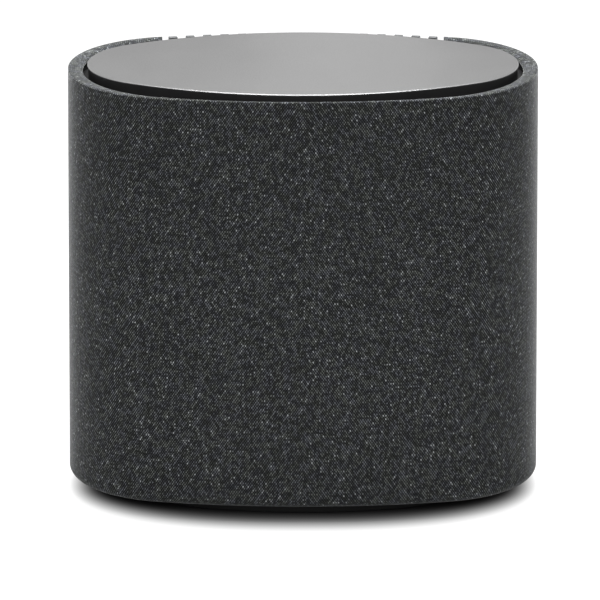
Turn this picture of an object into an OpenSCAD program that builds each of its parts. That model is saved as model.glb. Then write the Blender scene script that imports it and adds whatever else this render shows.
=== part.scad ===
// Smart home hub: an oval, fabric-wrapped voice and music hub on a low foot, with an aluminium touch
// plate on top, a ribbed rear panel with a connector bay, and a sealed speaker cabinet inside.
// Millimetres, +Z up. The front looks along -Y. The origin is the middle of the foot's underside.

/* [Body] */
// Width over the fabric
body_w = 282; // [266:1:306]
// Depth over the fabric and the ribs
body_d = 154; // [148:1:170]
// Height of the fabric sleeve
sleeve_h = 253.8; // [244:0.2:300]
// Radius of the long front and back faces
face_r = 405; // [340:5:460]
// Length of the straight stretch at each end of the oval
end_flat = 4; // [1:1:16]
// Height of the sleeve's lower edge above the table
floor_gap = 8.3; // [6:0.1:14]

/* [Fabric sleeve] */
// Thickness of the fabric
fabric_t = 1; // [0.8:0.1:1.3]
// Radius of the fold over the top edge
fold_r = 1.6; // [1.4:0.1:2]
// Radius of the turn under the bottom edge
hem_r = 6.4; // [4:0.1:9]
// Width of the fabric tucked under the base
hem_w = 9; // [9:0.5:14]
// Width of the fabric rim on top at the two ends
rim_end = 8; // [6:0.1:11]
// Width of the fabric rim on top at the front and back
rim_face = 2; // [2:0.1:5]
// Radius of the long sides of the top opening
mouth_r = 295; // [260:5:400]

/* [Top plate] */
// Gap between plate and rim at the two ends
plate_gap_end = 3.7; // [2:0.1:4.6]
// Gap between plate and rim at the front and back
plate_gap_face = 6.4; // [4:0.1:7.5]
// Height of the plate's top above the rim
plate_rise = 2.4; // [1.5:0.1:5]
// Thickness of the plate
plate_t = 1.3; // [1.2:0.1:2.4]
// Width of the bright chamfer round the plate
plate_chamfer = 0.5; // [0.2:0.1:0.8]
// Radius of the plate's long sides
plate_r = 216; // [205:1:260]
// How far the black skirt is set back under the plate's edge
skirt_inset = 0.6; // [0.4:0.1:2]
// Wall of the skirt
skirt_t = 3; // [2:0.1:5]
// Depth of the recess round the plate
recess_d = 7; // [5:0.1:9]
// Thickness of the touch board
touch_t = 1.6; // [1:0.1:2.4]

/* [Foot] */
// Width of the foot
foot_w = 195; // [180:1:220]
// Depth of the foot
foot_d = 120; // [110:1:126]
// Radius of the foot's long sides
foot_r = 220; // [190:5:280]
// How far the rubber pad stands out of the foot
pad_proud = 1; // [0.5:0.1:2]
// Width of the rubber pad
pad_w = 9; // [6:0.5:12]

/* [Rear panel] */
// Width of the rear panel between the ends of the fabric
panel_w = 170; // [160:1:176]
// Wall of the rear panel
panel_t = 2.6; // [2:0.1:4]
// Depth of the ribs
rib_d = 9; // [7:0.5:11]
// Width of a rib
rib_w = 4.8; // [3:0.1:6]
// Number of ribs
rib_count = 16; // [10:2:16]
// Gap between the end of the fabric and the first rib
rib_margin = 3.6; // [2:0.1:6]
// Width of the connector bay
bay_w = 104; // [100:1:116]
// Height of the connector bay
bay_h = 46; // [40:1:60]
// Height of the bay's middle above the table
bay_z = 50; // [46:1:70]
// Depth of the connector plate behind the ribs' tips
bay_depth = 16; // [15:0.5:20]
// Thickness of the connector plate
connector_t = 2; // [1.5:0.1:3]

/* [Woofer] */
// Outer diameter of the woofer's flange
woofer_d = 128; // [120:1:134]
// Height of the woofer's axis
woofer_z = 100; // [92:1:104]
// Diameter of the voice coil, outside
coil_d = 27.6; // [25:0.2:30]
// Gap between the voice coil and the steel on either side
coil_gap = 0.6; // [0.4:0.05:1]
// Diameter of the magnet
magnet_d = 80; // [66:1:90]
// Thickness of the magnet
magnet_t = 14; // [10:0.5:18]
// Cone travel each way
woofer_travel = 4; // [2:0.5:5]

/* [Tweeters] */
// Outer diameter of a tweeter's faceplate
tweeter_d = 50; // [48:1:56]
// Distance of each tweeter's axis from the middle
tweeter_x = 60; // [52:1:62]
// Height of the tweeters' axes
tweeter_z = 205; // [202:1:212]

/* [Passive radiators] */
// Outer diameter of a radiator's frame
radiator_d = 80; // [76:1:84]
// Height of the radiators' axes
radiator_z = 130; // [90:1:180]
// Height of the roll in a radiator's surround
radiator_roll = 4; // [3:0.1:4.4]

/* [Cabinet] */
// Wall of the cabinet
cabinet_t = 5; // [4:0.5:6]
// Distance from the fabric's front to the baffle
front_space = 16; // [15:0.5:18]
// Thickness of the baffle
baffle_t = 8; // [7:0.5:10]
// Distance from the middle to the cabinet's flat ends
cabinet_end = 118; // [112:1:119]
// Distance from the cabinet's back to the ribs' tips
back_space = 40; // [39:1:44]
// Wall of the grille frame
frame_t = 2.5; // [2:0.1:3]
// Width of the bars between the grille frame's windows
bar_w = 3.5; // [2.5:0.1:5]

/* [Buttons] */
// Diameter of the power button
power_d = 10; // [8:0.5:12]
// Diameter of the pairing button
pairing_d = 7; // [6:0.5:8]
// Travel of the buttons
button_travel = 0.8; // [0.5:0.1:1.2]
// Gap all round a button
button_gap = 0.3; // [0.2:0.05:0.5]

/* [Hidden] */
$fn = 72;
fit = 0.3;              // clearance between housings that slot into each other
sleeve_slack = 0.2;     // gap between the fabric and the frame that it is stretched over
overcut = 1;            // how far a cutting tool runs past the face that it cuts
far = 400;              // longer than the body in every direction

// Ovals, each [width, depth, radius of the long sides, length of the straight ends]
mouth_flat = 1;
foot_flat = 2;
BODY = [body_w, body_d, face_r, end_flat];
MOUTH = [body_w - 2 * rim_end, body_d - 2 * rim_face, mouth_r, mouth_flat];
PLATE = [MOUTH[0] - 2 * plate_gap_end, MOUTH[1] - 2 * plate_gap_face, plate_r, mouth_flat];
FOOT = [foot_w, foot_d, foot_r, foot_flat];

// Heights, from the table up
base_z = floor_gap + fabric_t;
base_floor = 3;
base_h = 14;
base_top = floor_gap + base_h;
ledge_z = base_z + 2;   // step of the base plate that the rear panel stands on
top_z = floor_gap + sleeve_h;
cap_top = top_z - fabric_t;
recess_z = top_z - recess_d;
cap_floor = 3;
cap_h = 19;
cap_bottom = top_z - cap_h;
plate_top = top_z + plate_rise;
cabinet_bottom = base_z + base_floor;
cabinet_top = recess_z - cap_floor;

// Depths, from the middle
shell_t = fabric_t + frame_t;
inner_t = shell_t + fit;
baffle_y = body_d / 2 - front_space;
connector_y = body_d / 2 - bay_depth;
cabinet_back = body_d / 2 - back_space;
pcb_t = 1.6;
standoff_h = 6;
board_y = cabinet_back + standoff_h;
pcb_y = board_y + pcb_t;

// Fasteners
screw_r = 1.5;
head_r = 2.6;
head_t = 1.8;
screw_slack = 0.2;      // how much wider than the screw a hole is that it only passes through
screw_bite = 4;         // how far a screw reaches into what it holds

// Driver seats: how far each flange rests on its panel, and how far its screws stand in from its edge
woofer_seat = 6.5;
tweeter_seat = 5.5;
radiator_seat = 7;
woofer_screw_in = 3.4;
small_screw_in = 2.8;
woofer_hole_r = woofer_d / 2 - woofer_seat;
tweeter_hole_r = tweeter_d / 2 - tweeter_seat;
radiator_hole_r = radiator_d / 2 - radiator_seat;

// ---------------------------------------------------------------- ovals

// Radius of an oval's corner arcs, which run tangent into its long sides and its straight ends
function corner_r(o) = let (a = o[0] / 2, k = o[2] - o[1] / 2 + o[3] / 2)
    (o[2] * o[2] - a * a - k * k) / (2 * (o[2] - a));
// X of the centre of an oval's corner arcs
function corner_x(o) = o[0] / 2 - corner_r(o);
// Distance of the centre of a long side from the middle
function face_y(o) = o[2] - o[1] / 2;
// Half the angle that a long side turns through
function face_turn(o) = asin(corner_x(o) / (o[2] - corner_r(o)));

// Flat oval, inset by t, made of true arcs
module oval(o, t = 0) {
    cr = corner_r(o);
    cx = corner_x(o);
    handover = cx * (o[2] - t) / (o[2] - cr);
    intersection() {
        square([2 * handover, o[1]], center = true);
        translate([0, face_y(o)]) circle(r = o[2] - t, $fn = 360);
        translate([0, -face_y(o)]) circle(r = o[2] - t, $fn = 360);
    }
    for (x = [-cx, cx], y = [-1, 1]) translate([x, y * o[3] / 2]) circle(r = cr - t, $fn = 96);
    square([o[0] - 2 * t, o[3]], center = true);
}

// Points along an arc, without its first point when skip is 1
function arc(c, r, from, to, steps, skip = 0) =
    [for (i = [skip : steps]) let (a = from + (to - from) * i / steps) c + r * [cos(a), sin(a)]];

// The same oval as a ring of points at height z, anticlockwise from the right-hand end
function ring(o, t, z, corner_steps = 14, face_steps = 8) =
    let (
        cr = corner_r(o), cx = corner_x(o), k = face_y(o), turn = face_turn(o), fl = o[3] / 2,
        quarter = concat(
            arc([cx, fl], cr - t, 0, 90 - turn, corner_steps),
            arc([0, -k], o[2] - t, 90 - turn, 90, face_steps, 1)
        ),
        n = len(quarter),
        half = concat(quarter, [for (i = [n - 2 : -1 : 0]) [-quarter[i][0], quarter[i][1]]]),
        whole = concat(half, [for (p = half) -p])
    )
    [for (p = whole) [p[0], p[1], z]];

// Solid skinned over a stack of rings; a loop of rings closes on itself like a tyre
module skin(rings, loop = false) {
    n = len(rings[0]);
    m = len(rings);
    spans = loop ? m : m - 1;
    sides = [for (j = [0 : spans - 1], i = [0 : n - 1])
        let (a = j * n + i, b = j * n + (i + 1) % n, up = ((j + 1) % m) * n, d = up + i, c = up + (i + 1) % n)
        each [[a, d, c], [a, c, b]]];
    caps = loop ? [] : [[for (i = [0 : n - 1]) i], [for (i = [n - 1 : -1 : 0]) (m - 1) * n + i]];
    polyhedron(points = [for (r = rings) each r], faces = concat(sides, caps));
}

// Rings of a rounded edge: inset and height follow a quarter circle round (inset, height) = centre
function edge_rings(o, inset, z, r, from, to, steps = 4) =
    [for (p = arc([inset, z], r, from, to, steps)) ring(o, p[0], p[1])];

// Prism of the body's oval, inset by t
module body_prism(t, z0, z1) {
    translate([0, 0, z0]) linear_extrude(z1 - z0) oval(BODY, t);
}

// Block that spans the whole body behind its middle, as wide as the rear panel plus a gap each side
module rear_block(gap) {
    translate([-panel_w / 2 - gap, 0, -overcut]) cube([panel_w + 2 * gap, far, far]);
}

// Disc of the back face's arc, inset by t, for walls that follow the back
module back_disc(t) {
    translate([0, -face_y(BODY)]) circle(r = face_r - t, $fn = 360);
}

// All that lies outside that disc between the two ends of the fabric, from height z up
module behind(t, z) {
    intersection() {
        rear_block(fit);
        translate([0, 0, z]) linear_extrude(far) difference() {
            square(far, center = true);
            back_disc(t);
        }
    }
}

// ---------------------------------------------------------------- top

module top_plate() {
    color("darkgray") skin([
        ring(PLATE, 0, plate_top - plate_t, 18, 16),
        ring(PLATE, 0, plate_top - plate_chamfer, 18, 16),
        ring(PLATE, plate_chamfer, plate_top, 18, 16)
    ]);
}

module plate_skirt() {
    color("black") translate([0, 0, recess_z]) difference() {
        linear_extrude(plate_top - plate_t - recess_z) oval(PLATE, skirt_inset);
        translate([0, 0, -overcut]) linear_extrude(far) oval(PLATE, skirt_inset + skirt_t);
    }
}

// Glued under the plate, with four microphones and a ring of touch pads' chips on its underside
module touch_board() {
    mic = [4, 3, 1.2];
    mic_ring = 0.32 * PLATE;
    z = plate_top - plate_t - touch_t;
    color("darkgreen") {
        translate([0, 0, z]) linear_extrude(touch_t) oval(PLATE, skirt_inset + skirt_t + fit);
        for (a = [45 : 90 : 315]) translate([mic_ring[0] * cos(a), mic_ring[1] * sin(a), z - mic[2] / 2])
            cube(mic, center = true);
        translate([0, 0, z - 0.5]) cube([12, 12, 1], center = true);
    }
}

module top_cap() {
    color("black") difference() {
        skin(concat(
            [ring(BODY, fabric_t, cap_bottom)],
            edge_rings(BODY, fold_r, top_z - fold_r, fold_r - fabric_t, 180, 90)
        ));
        translate([0, 0, recess_z]) linear_extrude(far) oval(MOUTH);
        difference() {
            body_prism(shell_t, cap_bottom - overcut, cabinet_top);
            panel_bosses(cap_bottom, cabinet_top);
        }
        behind(rib_d + panel_t, 0);
        panel_screw_spots() cylinder(r = screw_r, h = 2 * screw_length, center = true);
    }
}

// ---------------------------------------------------------------- sleeve and its frame

module fabric_cover() {
    outside = concat(
        edge_rings(BODY, hem_r, floor_gap + hem_r, hem_r, 270, 180),
        edge_rings(BODY, fold_r, top_z - fold_r, fold_r, 180, 90),
        [ring(MOUTH, 0, top_z)]
    );
    inside = concat(
        [ring(MOUTH, 0, cap_top)],
        edge_rings(BODY, fold_r, top_z - fold_r, fold_r - fabric_t, 90, 180),
        edge_rings(BODY, hem_r, floor_gap + hem_r, hem_r - fabric_t, 180, 270)
    );
    hem = [ring(BODY, hem_w, base_z), ring(BODY, hem_w, floor_gap)];
    color("dimgray") difference() {
        skin(concat(outside, inside, hem), loop = true);
        rear_block(0);
    }
}

// Window cut through the frame, as wide as w at the far end of a radius r that turns about the origin
module frame_window(r, w, h) {
    translate([r - frame_t - 2 * overcut, -w / 2, 0]) cube([frame_t + fabric_t + 4 * overcut, w, h]);
}

module grille_frame() {
    rows = 5;
    face_columns = 14;
    corner_columns = 5;
    row_h = (cap_bottom - base_top) / rows;
    turn = face_turn(BODY);
    cr = corner_r(BODY);
    face_step = 2 * turn / face_columns;
    corner_step = (90 - turn) / corner_columns;
    face_window = face_r * face_step * PI / 180 - bar_w;
    corner_window = cr * corner_step * PI / 180 - bar_w;
    color("black") difference() {
        body_prism(fabric_t + sleeve_slack, base_top, cap_bottom);
        body_prism(shell_t, base_top - overcut, cap_bottom + overcut);
        rear_block(0);
        for (row = [0 : rows - 1]) translate([0, 0, base_top + row * row_h + bar_w]) {
            for (i = [0 : face_columns - 1])
                translate([0, face_y(BODY), 0]) rotate([0, 0, -90 - turn + (i + 0.5) * face_step])
                    frame_window(face_r, face_window, row_h - 2 * bar_w);
            for (x = [-1, 1], y = [-1, 1], i = [0 : corner_columns - 1])
                if (y < 0 || i < corner_columns - 1)
                    at_corner(x, y) rotate([0, 0, (i + 0.5) * corner_step])
                        frame_window(cr, corner_window, row_h - 2 * bar_w);
        }
    }
}

// Children drawn about the middle of the corner arc in the +X +Y quarter, mirrored to quarter (x, y)
module at_corner(x, y) {
    mirror([x < 0 ? 1 : 0, 0, 0]) mirror([0, y < 0 ? 1 : 0, 0])
        translate([corner_x(BODY), end_flat / 2, 0]) children();
}

// ---------------------------------------------------------------- rear panel

// One rib seen from its side: it rounds over at top and bottom like the sleeve beside it, and below the
// base plate's step it stops short of it
module rib_profile() {
    root = rib_d + panel_t / 2;
    difference() {
        union() {
            translate([-root, ledge_z]) square([root, top_z - ledge_z]);
            translate([-rib_d + fit, floor_gap]) square([rib_d - fit, sleeve_h]);
        }
        rib_corner(hem_r, floor_gap + hem_r, -1);
        rib_corner(fold_r, top_z - fold_r, 1);
    }
}

// What a rounded corner of radius r, with its centre at height z, takes off a rib's top (1) or bottom (-1)
module rib_corner(r, z, side) {
    difference() {
        translate([-r, side > 0 ? z : z - r - overcut]) square(r + overcut);
        translate([-r, z]) circle(r = r);
    }
}

// Angle that the ribs spread over, and the angle from one to the next
function rib_spread() = 2 * asin((panel_w / 2 - rib_w / 2 - rib_margin) / face_r);
function rib_step() = rib_spread() / (rib_count - 1);

module rear_panel() {
    bay_wall = 2;
    bay_inset = 0.6;
    lip = 1.5;
    bay_front = connector_y - connector_t;
    bay_bottom = bay_z - bay_h / 2;
    color("dimgray") difference() {
        union() {
            translate([0, 0, ledge_z]) linear_extrude(recess_z - ledge_z) intersection() {
                difference() {
                    back_disc(rib_d);
                    back_disc(rib_d + panel_t);
                }
                translate([-panel_w / 2 + fit, 0]) square([panel_w - 2 * fit, far]);
            }
            for (i = [0 : rib_count - 1])
                translate([0, -face_y(BODY), 0]) rotate([0, 0, 90 - rib_spread() / 2 + i * rib_step()])
                    translate([face_r, 0, 0]) rotate([90, 0, 0])
                        linear_extrude(rib_w, center = true) rib_profile();
            intersection() {
                translate([-bay_w / 2 - bay_wall, bay_front - lip, bay_bottom - bay_wall])
                    cube([bay_w + 2 * bay_wall, far, bay_h + 2 * bay_wall]);
                linear_extrude(far) back_disc(bay_inset);
            }
        }
        translate([-bay_w / 2, bay_front, bay_bottom]) cube([bay_w, far, bay_h]);
        translate([-bay_w / 2 + lip, 0, bay_bottom + lip]) cube([bay_w - 2 * lip, far, bay_h - 2 * lip]);
        translate([0, 0, recess_z]) linear_extrude(far) oval(MOUTH);
        panel_screw_spots() cylinder(r = screw_r + screw_slack, h = 4 * panel_t, center = true);
    }
}

// Blocks behind the rear panel's screws, from height z0 to z1, that the panel's wall lies against
module panel_bosses(z0, z1) {
    w = 8;
    front = cabinet_back + 2;
    for (s = [-1, 1]) translate([s * panel_screw_x() - w / 2, front, z0]) cube([w, far, z1 - z0]);
}

// ---------------------------------------------------------------- base and foot

module base_plate() {
    color("black") difference() {
        skin(concat(
            edge_rings(BODY, hem_r, floor_gap + hem_r, hem_r - fabric_t, 270, 180),
            [ring(BODY, fabric_t, base_top)]
        ));
        difference() {
            body_prism(shell_t, cabinet_bottom, base_top + overcut);
            panel_bosses(base_z, base_top);
        }
        behind(rib_d + panel_t, ledge_z);
        behind(rib_d, 0);
        panel_screw_spots() cylinder(r = screw_r, h = 2 * screw_length, center = true);
        base_screw_spots() cylinder(r = screw_r + screw_slack, h = far, center = true);
    }
}

foot_rim = 3;           // how far the pad is set in from the foot's edge
pad_pocket = 1.5;       // depth of the groove that the pad lies in
screw_pocket = 3;       // depth of the foot's pockets for the screw heads

module foot() {
    color("black") difference() {
        translate([0, 0, pad_proud]) linear_extrude(base_z - pad_proud) oval(FOOT);
        translate([0, 0, pad_proud - overcut]) linear_extrude(pad_pocket + overcut) pad_outline();
        base_screw_spots() {
            cylinder(r = screw_r + screw_slack, h = far, center = true);
            translate([0, 0, -overcut]) cylinder(r = head_r + 0.4, h = pad_proud + screw_pocket + overcut);
        }
    }
}

module pad_outline() {
    difference() {
        oval(FOOT, foot_rim);
        oval(FOOT, foot_rim + pad_w);
    }
}

module foot_pad() {
    color("black") linear_extrude(pad_proud + pad_pocket) pad_outline();
}

// ---------------------------------------------------------------- cabinet

// Plan of the cabinet between two depths, inset by t
module cabinet_plan(t, front, back) {
    intersection() {
        oval(BODY, inner_t + t);
        translate([-cabinet_end + t, -front]) square([2 * (cabinet_end - t), front + back]);
    }
}

module cabinet() {
    inside_front = baffle_y + overcut;
    cabinet_h = cabinet_top - cabinet_bottom;
    color("black") difference() {
        union() {
            translate([0, 0, cabinet_bottom]) linear_extrude(cabinet_h)
                cabinet_plan(0, baffle_y - baffle_t, cabinet_back);
            board_spots() translate([0, 0, -overcut]) cylinder(r = standoff_r, h = standoff_h + overcut);
        }
        translate([0, 0, cabinet_bottom + cabinet_t]) linear_extrude(cabinet_h - 2 * cabinet_t)
            cabinet_plan(cabinet_t, inside_front, cabinet_back - cabinet_t);
        for (side = [-1, 1]) on_end(side) {
            translate([0, 0, -flange_t]) cylinder(d = radiator_d + 2 * fit, h = flange_t + overcut);
            cylinder(r = radiator_hole_r, h = 4 * cabinet_t, center = true);
            radiator_screw_ring() cylinder(r = screw_r, h = 2 * cabinet_t, center = true);
        }
        board_spots() cylinder(r = screw_r, h = standoff_h + overcut);
        base_screw_spots() cylinder(r = screw_r, h = cabinet_bottom + screw_bite);
    }
}

module front_baffle() {
    color("saddlebrown") difference() {
        translate([0, 0, cabinet_bottom]) linear_extrude(cabinet_top - cabinet_bottom) intersection() {
            oval(BODY, inner_t);
            translate([-far / 2, -baffle_y]) square([far, baffle_t]);
        }
        on_baffle(0, woofer_z) {
            translate([0, 0, -flange_t - gasket_t]) cylinder(d = woofer_d + 2 * fit, h = far, $fn = 96);
            cylinder(r = woofer_hole_r, h = far, center = true, $fn = 96);
            woofer_screw_ring() cylinder(r = screw_r, h = 4 * baffle_t, center = true);
        }
        for (x = [-tweeter_x, tweeter_x]) on_baffle(x, tweeter_z) {
            translate([0, 0, -tweeter_flange_t]) cylinder(d = tweeter_d + 2 * fit, h = far);
            cylinder(r = tweeter_hole_r, h = far, center = true);
            tweeter_screw_ring() cylinder(r = screw_r, h = 4 * baffle_t, center = true);
        }
    }
}

// Rests on the cabinet's floor against its back wall
module damping_pad() {
    thick = 12;
    edge = 14;
    half = cabinet_end - cabinet_t - edge;
    y = cabinet_back - cabinet_t - thick;
    z = cabinet_bottom + cabinet_t;
    color("whitesmoke") translate([-half, y, z]) cube([2 * half, thick, cabinet_top - cabinet_t - edge - z]);
}

// Children with their Z axis out of the baffle's front, at x and height z
module on_baffle(x, z) {
    translate([x, -baffle_y, z]) rotate([90, 0, 0]) children();
}

// Children with their Z axis out of the cabinet's end, to the right for side 1 and left for side -1
module on_end(side) {
    translate([side * cabinet_end, 0, radiator_z]) rotate([0, side * 90, 0]) children();
}

// Children repeated n times round a circle
module screw_ring(n, r, start = 0) {
    for (i = [0 : n - 1]) rotate([0, 0, start + i * 360 / n]) translate([r, 0, 0]) children();
}

// Children at the screws of each kind of driver, drawn about the driver's axis
module woofer_screw_ring() {
    screw_ring(6, woofer_d / 2 - woofer_screw_in, 30) children();
}

module tweeter_screw_ring() {
    screw_ring(3, tweeter_d / 2 - small_screw_in, 90) children();
}

module radiator_screw_ring() {
    screw_ring(4, radiator_d / 2 - small_screw_in, 45) children();
}

// Hole that a flange has for a screw
module flange_hole() {
    cylinder(r = screw_r + screw_slack, h = 4 * flange_t, center = true);
}

// ---------------------------------------------------------------- woofer
// Drawn with z = 0 at the baffle's front face and +Z forward

flange_t = 3;
gasket_t = 1;
flange_w = 9;
basket_t = 3;           // wall of the basket
hat_r = magnet_d / 2 - 2;
hat_z = -30;            // floor of the basket's hat
spider_z = -24;         // ledge that carries the spider
spider_ledge = 7;
front_plate_t = 5;
coil_t = 1;
pole_r = coil_d / 2 - coil_t - coil_gap;
gap_r = coil_d / 2 + coil_gap;
hat_bottom = hat_z - basket_t;
magnet_top = hat_bottom - front_plate_t;
magnet_bottom = magnet_top - magnet_t;
neck_z = -18;           // height of the cone's neck
surround_w = 7;         // width of the surround's roll
surround_lip = 2.5;     // how far the surround's flat lips lie on the cone and on the basket
cone_r = woofer_d / 2 - flange_w - surround_w;
cone_t = 1;
former_r = coil_d / 2 - 0.6;    // outside of the bare former above the winding

module woofer_basket() {
    r = woofer_d / 2;
    rim_r = r - flange_w;
    throat_r = woofer_hole_r - 0.5;
    inside_r = throat_r - basket_t;
    ledge_r = hat_r - 1;
    windows = 6;
    window_turn = 38;
    color("darkslategray") on_baffle(0, woofer_z) difference() {
        rotate_extrude($fn = 96) polygon([
            [rim_r, 0], [r, 0], [r, -flange_t], [throat_r, -flange_t],
            [hat_r, hat_z + basket_t], [hat_r, hat_bottom],
            [gap_r + basket_t, hat_bottom], [gap_r + basket_t, hat_z],
            [ledge_r - spider_ledge, hat_z], [ledge_r - spider_ledge, spider_z], [ledge_r, spider_z],
            [inside_r, -flange_t - 0.5], [inside_r, -flange_t + 1], [rim_r, -flange_t + 1]
        ]);
        for (i = [0 : windows - 1]) rotate([0, 0, (i + 0.5) * 360 / windows - window_turn / 2])
            rotate_extrude(angle = window_turn)
                translate([hat_r - 4, spider_z + 2]) square([r, -spider_z - 2 - flange_t - 2.5]);
        woofer_screw_ring() flange_hole();
    }
}

module woofer_gasket() {
    color("black") on_baffle(0, woofer_z) difference() {
        translate([0, 0, -flange_t - gasket_t]) cylinder(d = woofer_d, h = gasket_t, $fn = 96);
        cylinder(r = woofer_hole_r, h = far, center = true, $fn = 96);
        woofer_screw_ring() flange_hole();
    }
}

// Washer between two heights
module washer(r_out, r_in, z0, z1) {
    difference() {
        translate([0, 0, z0]) cylinder(r = r_out, h = z1 - z0);
        translate([0, 0, z0 - overcut]) cylinder(r = r_in, h = z1 - z0 + 2 * overcut);
    }
}

module woofer_front_plate() {
    color("silver") on_baffle(0, woofer_z) washer(hat_r, gap_r, magnet_top, hat_bottom);
}

module woofer_magnet() {
    color("dimgray") on_baffle(0, woofer_z) washer(magnet_d / 2, coil_d / 2 + 8, magnet_bottom, magnet_top);
}

// Back plate and pole turned in one piece, with a vent down the pole
module woofer_yoke() {
    back = magnet_bottom - front_plate_t;
    vent = 4;
    color("silver") on_baffle(0, woofer_z) rotate_extrude() polygon([
        [vent, back], [hat_r - 1, back], [hat_r, back + 1], [hat_r, magnet_bottom],
        [pole_r, magnet_bottom], [pole_r, hat_bottom], [vent, hat_bottom]
    ]);
}

module woofer_coil() {
    wind_mid = hat_bottom - front_plate_t / 2;
    wind_h = 11;
    color("peru") on_baffle(0, woofer_z) rotate_extrude() polygon([
        [coil_d / 2 - coil_t, wind_mid - wind_h / 2], [coil_d / 2, wind_mid - wind_h / 2],
        [coil_d / 2, wind_mid + wind_h / 2], [former_r, wind_mid + wind_h / 2],
        [former_r, neck_z + cone_t], [coil_d / 2 - coil_t, neck_z + cone_t]
    ]);
}

// Height of the cone's front surface at radius r, steeper at the neck
function cone_z(r) =
    let (u = (r - coil_d / 2) / (cone_r - surround_lip - coil_d / 2)) neck_z * pow(1 - u, 1.35);

module woofer_cone() {
    steps = 12;
    r1 = cone_r - surround_lip;
    front = [for (i = [0 : steps]) let (r = coil_d / 2 + (r1 - coil_d / 2) * i / steps) [r, cone_z(r)]];
    back = [for (i = [steps : -1 : 0]) [front[i][0], front[i][1] - cone_t]];
    color("black") on_baffle(0, woofer_z) rotate_extrude($fn = 96) polygon(concat(
        [[former_r, neck_z]], front, [[cone_r, 0], [cone_r, -cone_t]], back, [[former_r, neck_z - cone_t]]
    ));
}

module woofer_dust_cap() {
    rim = coil_d / 2 + 3;
    rise = 5;
    dome_r = (rim * rim + rise * rise) / (2 * rise);
    thick = 0.8;
    color("dimgray") on_baffle(0, woofer_z) translate([0, 0, cone_z(rim)]) rotate_extrude() intersection() {
        translate([0, rise - dome_r]) difference() {
            circle(r = dome_r, $fn = 180);
            circle(r = dome_r - thick, $fn = 180);
        }
        square([rim, rise + overcut]);
    }
}

// Half-roll between two flat lips, as seen in section: the roll's middle is at radius mid
module roll_section(mid, roll, thick, lip_in, lip_out) {
    intersection() {
        translate([mid, 0]) difference() {
            circle(r = roll);
            circle(r = roll - thick);
        }
        translate([mid - roll, 0]) square([2 * roll, roll]);
    }
    translate([mid - roll - lip_in, 0]) square([lip_in + thick, thick]);
    translate([mid + roll - thick, 0]) square([lip_out + thick, thick]);
}

module woofer_surround() {
    mid = woofer_d / 2 - flange_w - surround_w / 2;
    color("black") on_baffle(0, woofer_z) rotate_extrude($fn = 96)
        roll_section(mid, surround_w / 2, 0.6, surround_lip, surround_lip);
}

// Corrugated disc from the former to its ledge in the basket
module woofer_spider() {
    r1 = hat_r - 5;
    r_out = r1 + 3.5;
    waves = 4;
    steps = 8 * waves;
    thick = 0.6;
    swing = 0.9;
    mid = spider_z + swing;
    top = [for (i = [0 : steps])
        [former_r + (r1 - former_r) * i / steps, mid - swing * cos(waves * 360 * i / steps) + thick]];
    bottom = [for (i = [steps : -1 : 0]) [top[i][0], top[i][1] - thick]];
    color("goldenrod") on_baffle(0, woofer_z) rotate_extrude()
        polygon(concat(top, [[r_out, spider_z + thick], [r_out, spider_z]], bottom));
}

// ---------------------------------------------------------------- tweeters
// Drawn with z = 0 at the baffle's front face and +Z forward

tweeter_flange_t = 2.5;
dome_r = 12.9;
dome_rise = 4.4;
dome_t = 0.5;
tweeter_roll = 1;       // height of the roll round the dome
motor_r = 18.5;
motor_top = -9;
motor_h = 14;
film_t = 0.4;

module tweeter_frame(x) {
    r = tweeter_d / 2;
    throat = dome_r + 2 * tweeter_roll + 0.9;
    z = motor_top + film_t;
    color("black") on_baffle(x, tweeter_z) difference() {
        rotate_extrude() polygon([
            [throat, z], [motor_r + 0.5, z], [motor_r + 0.5, -tweeter_flange_t],
            [r, -tweeter_flange_t], [r, 0],
            [throat + 5.5, 0], [throat + 3, -1.4], [throat + 1, -3.6], [throat, -6.2]
        ]);
        tweeter_screw_ring() flange_hole();
    }
}

module tweeter_surround(x) {
    mid = dome_r + tweeter_roll;
    color("black") on_baffle(x, tweeter_z) translate([0, 0, motor_top]) rotate_extrude()
        roll_section(mid, tweeter_roll, film_t, 0, motor_r - mid - tweeter_roll);
}

module tweeter_dome(x) {
    skirt_h = 6;
    sphere_r = (dome_r * dome_r + dome_rise * dome_rise) / (2 * dome_rise);
    color("silver") on_baffle(x, tweeter_z) translate([0, 0, motor_top]) rotate_extrude() {
        intersection() {
            translate([0, dome_rise - sphere_r]) difference() {
                circle(r = sphere_r, $fn = 180);
                circle(r = sphere_r - dome_t, $fn = 180);
            }
            square([dome_r, dome_rise + overcut]);
        }
        translate([dome_r - dome_t - 0.1, -skirt_h]) square([dome_t + 0.1, skirt_h + dome_t]);
    }
}

// Magnet cup whose ring-shaped gap takes the skirt of the dome
module tweeter_motor(x) {
    gap = 1.3;
    gap_h = 9;
    pole_z = motor_top - 1.2;
    color("dimgray") on_baffle(x, tweeter_z) rotate_extrude() polygon([
        [0, motor_top - motor_h], [motor_r, motor_top - motor_h], [motor_r, motor_top],
        [dome_r + gap, motor_top], [dome_r + gap, motor_top - gap_h], [dome_r - gap, motor_top - gap_h],
        [dome_r - gap, pole_z], [0, pole_z]
    ]);
}

module left_tweeter_frame() { tweeter_frame(-tweeter_x); }
module left_tweeter_surround() { tweeter_surround(-tweeter_x); }
module left_tweeter_dome() { tweeter_dome(-tweeter_x); }
module left_tweeter_motor() { tweeter_motor(-tweeter_x); }
module right_tweeter_frame() { tweeter_frame(tweeter_x); }
module right_tweeter_surround() { tweeter_surround(tweeter_x); }
module right_tweeter_dome() { tweeter_dome(tweeter_x); }
module right_tweeter_motor() { tweeter_motor(tweeter_x); }

// ---------------------------------------------------------------- passive radiators
// Drawn with z = 0 at the cabinet's end face and +Z outward

radiator_lip = 2.5;
weight_r = 12;          // brass weight on the back of a radiator's plate
weight_t = 4;

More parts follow.
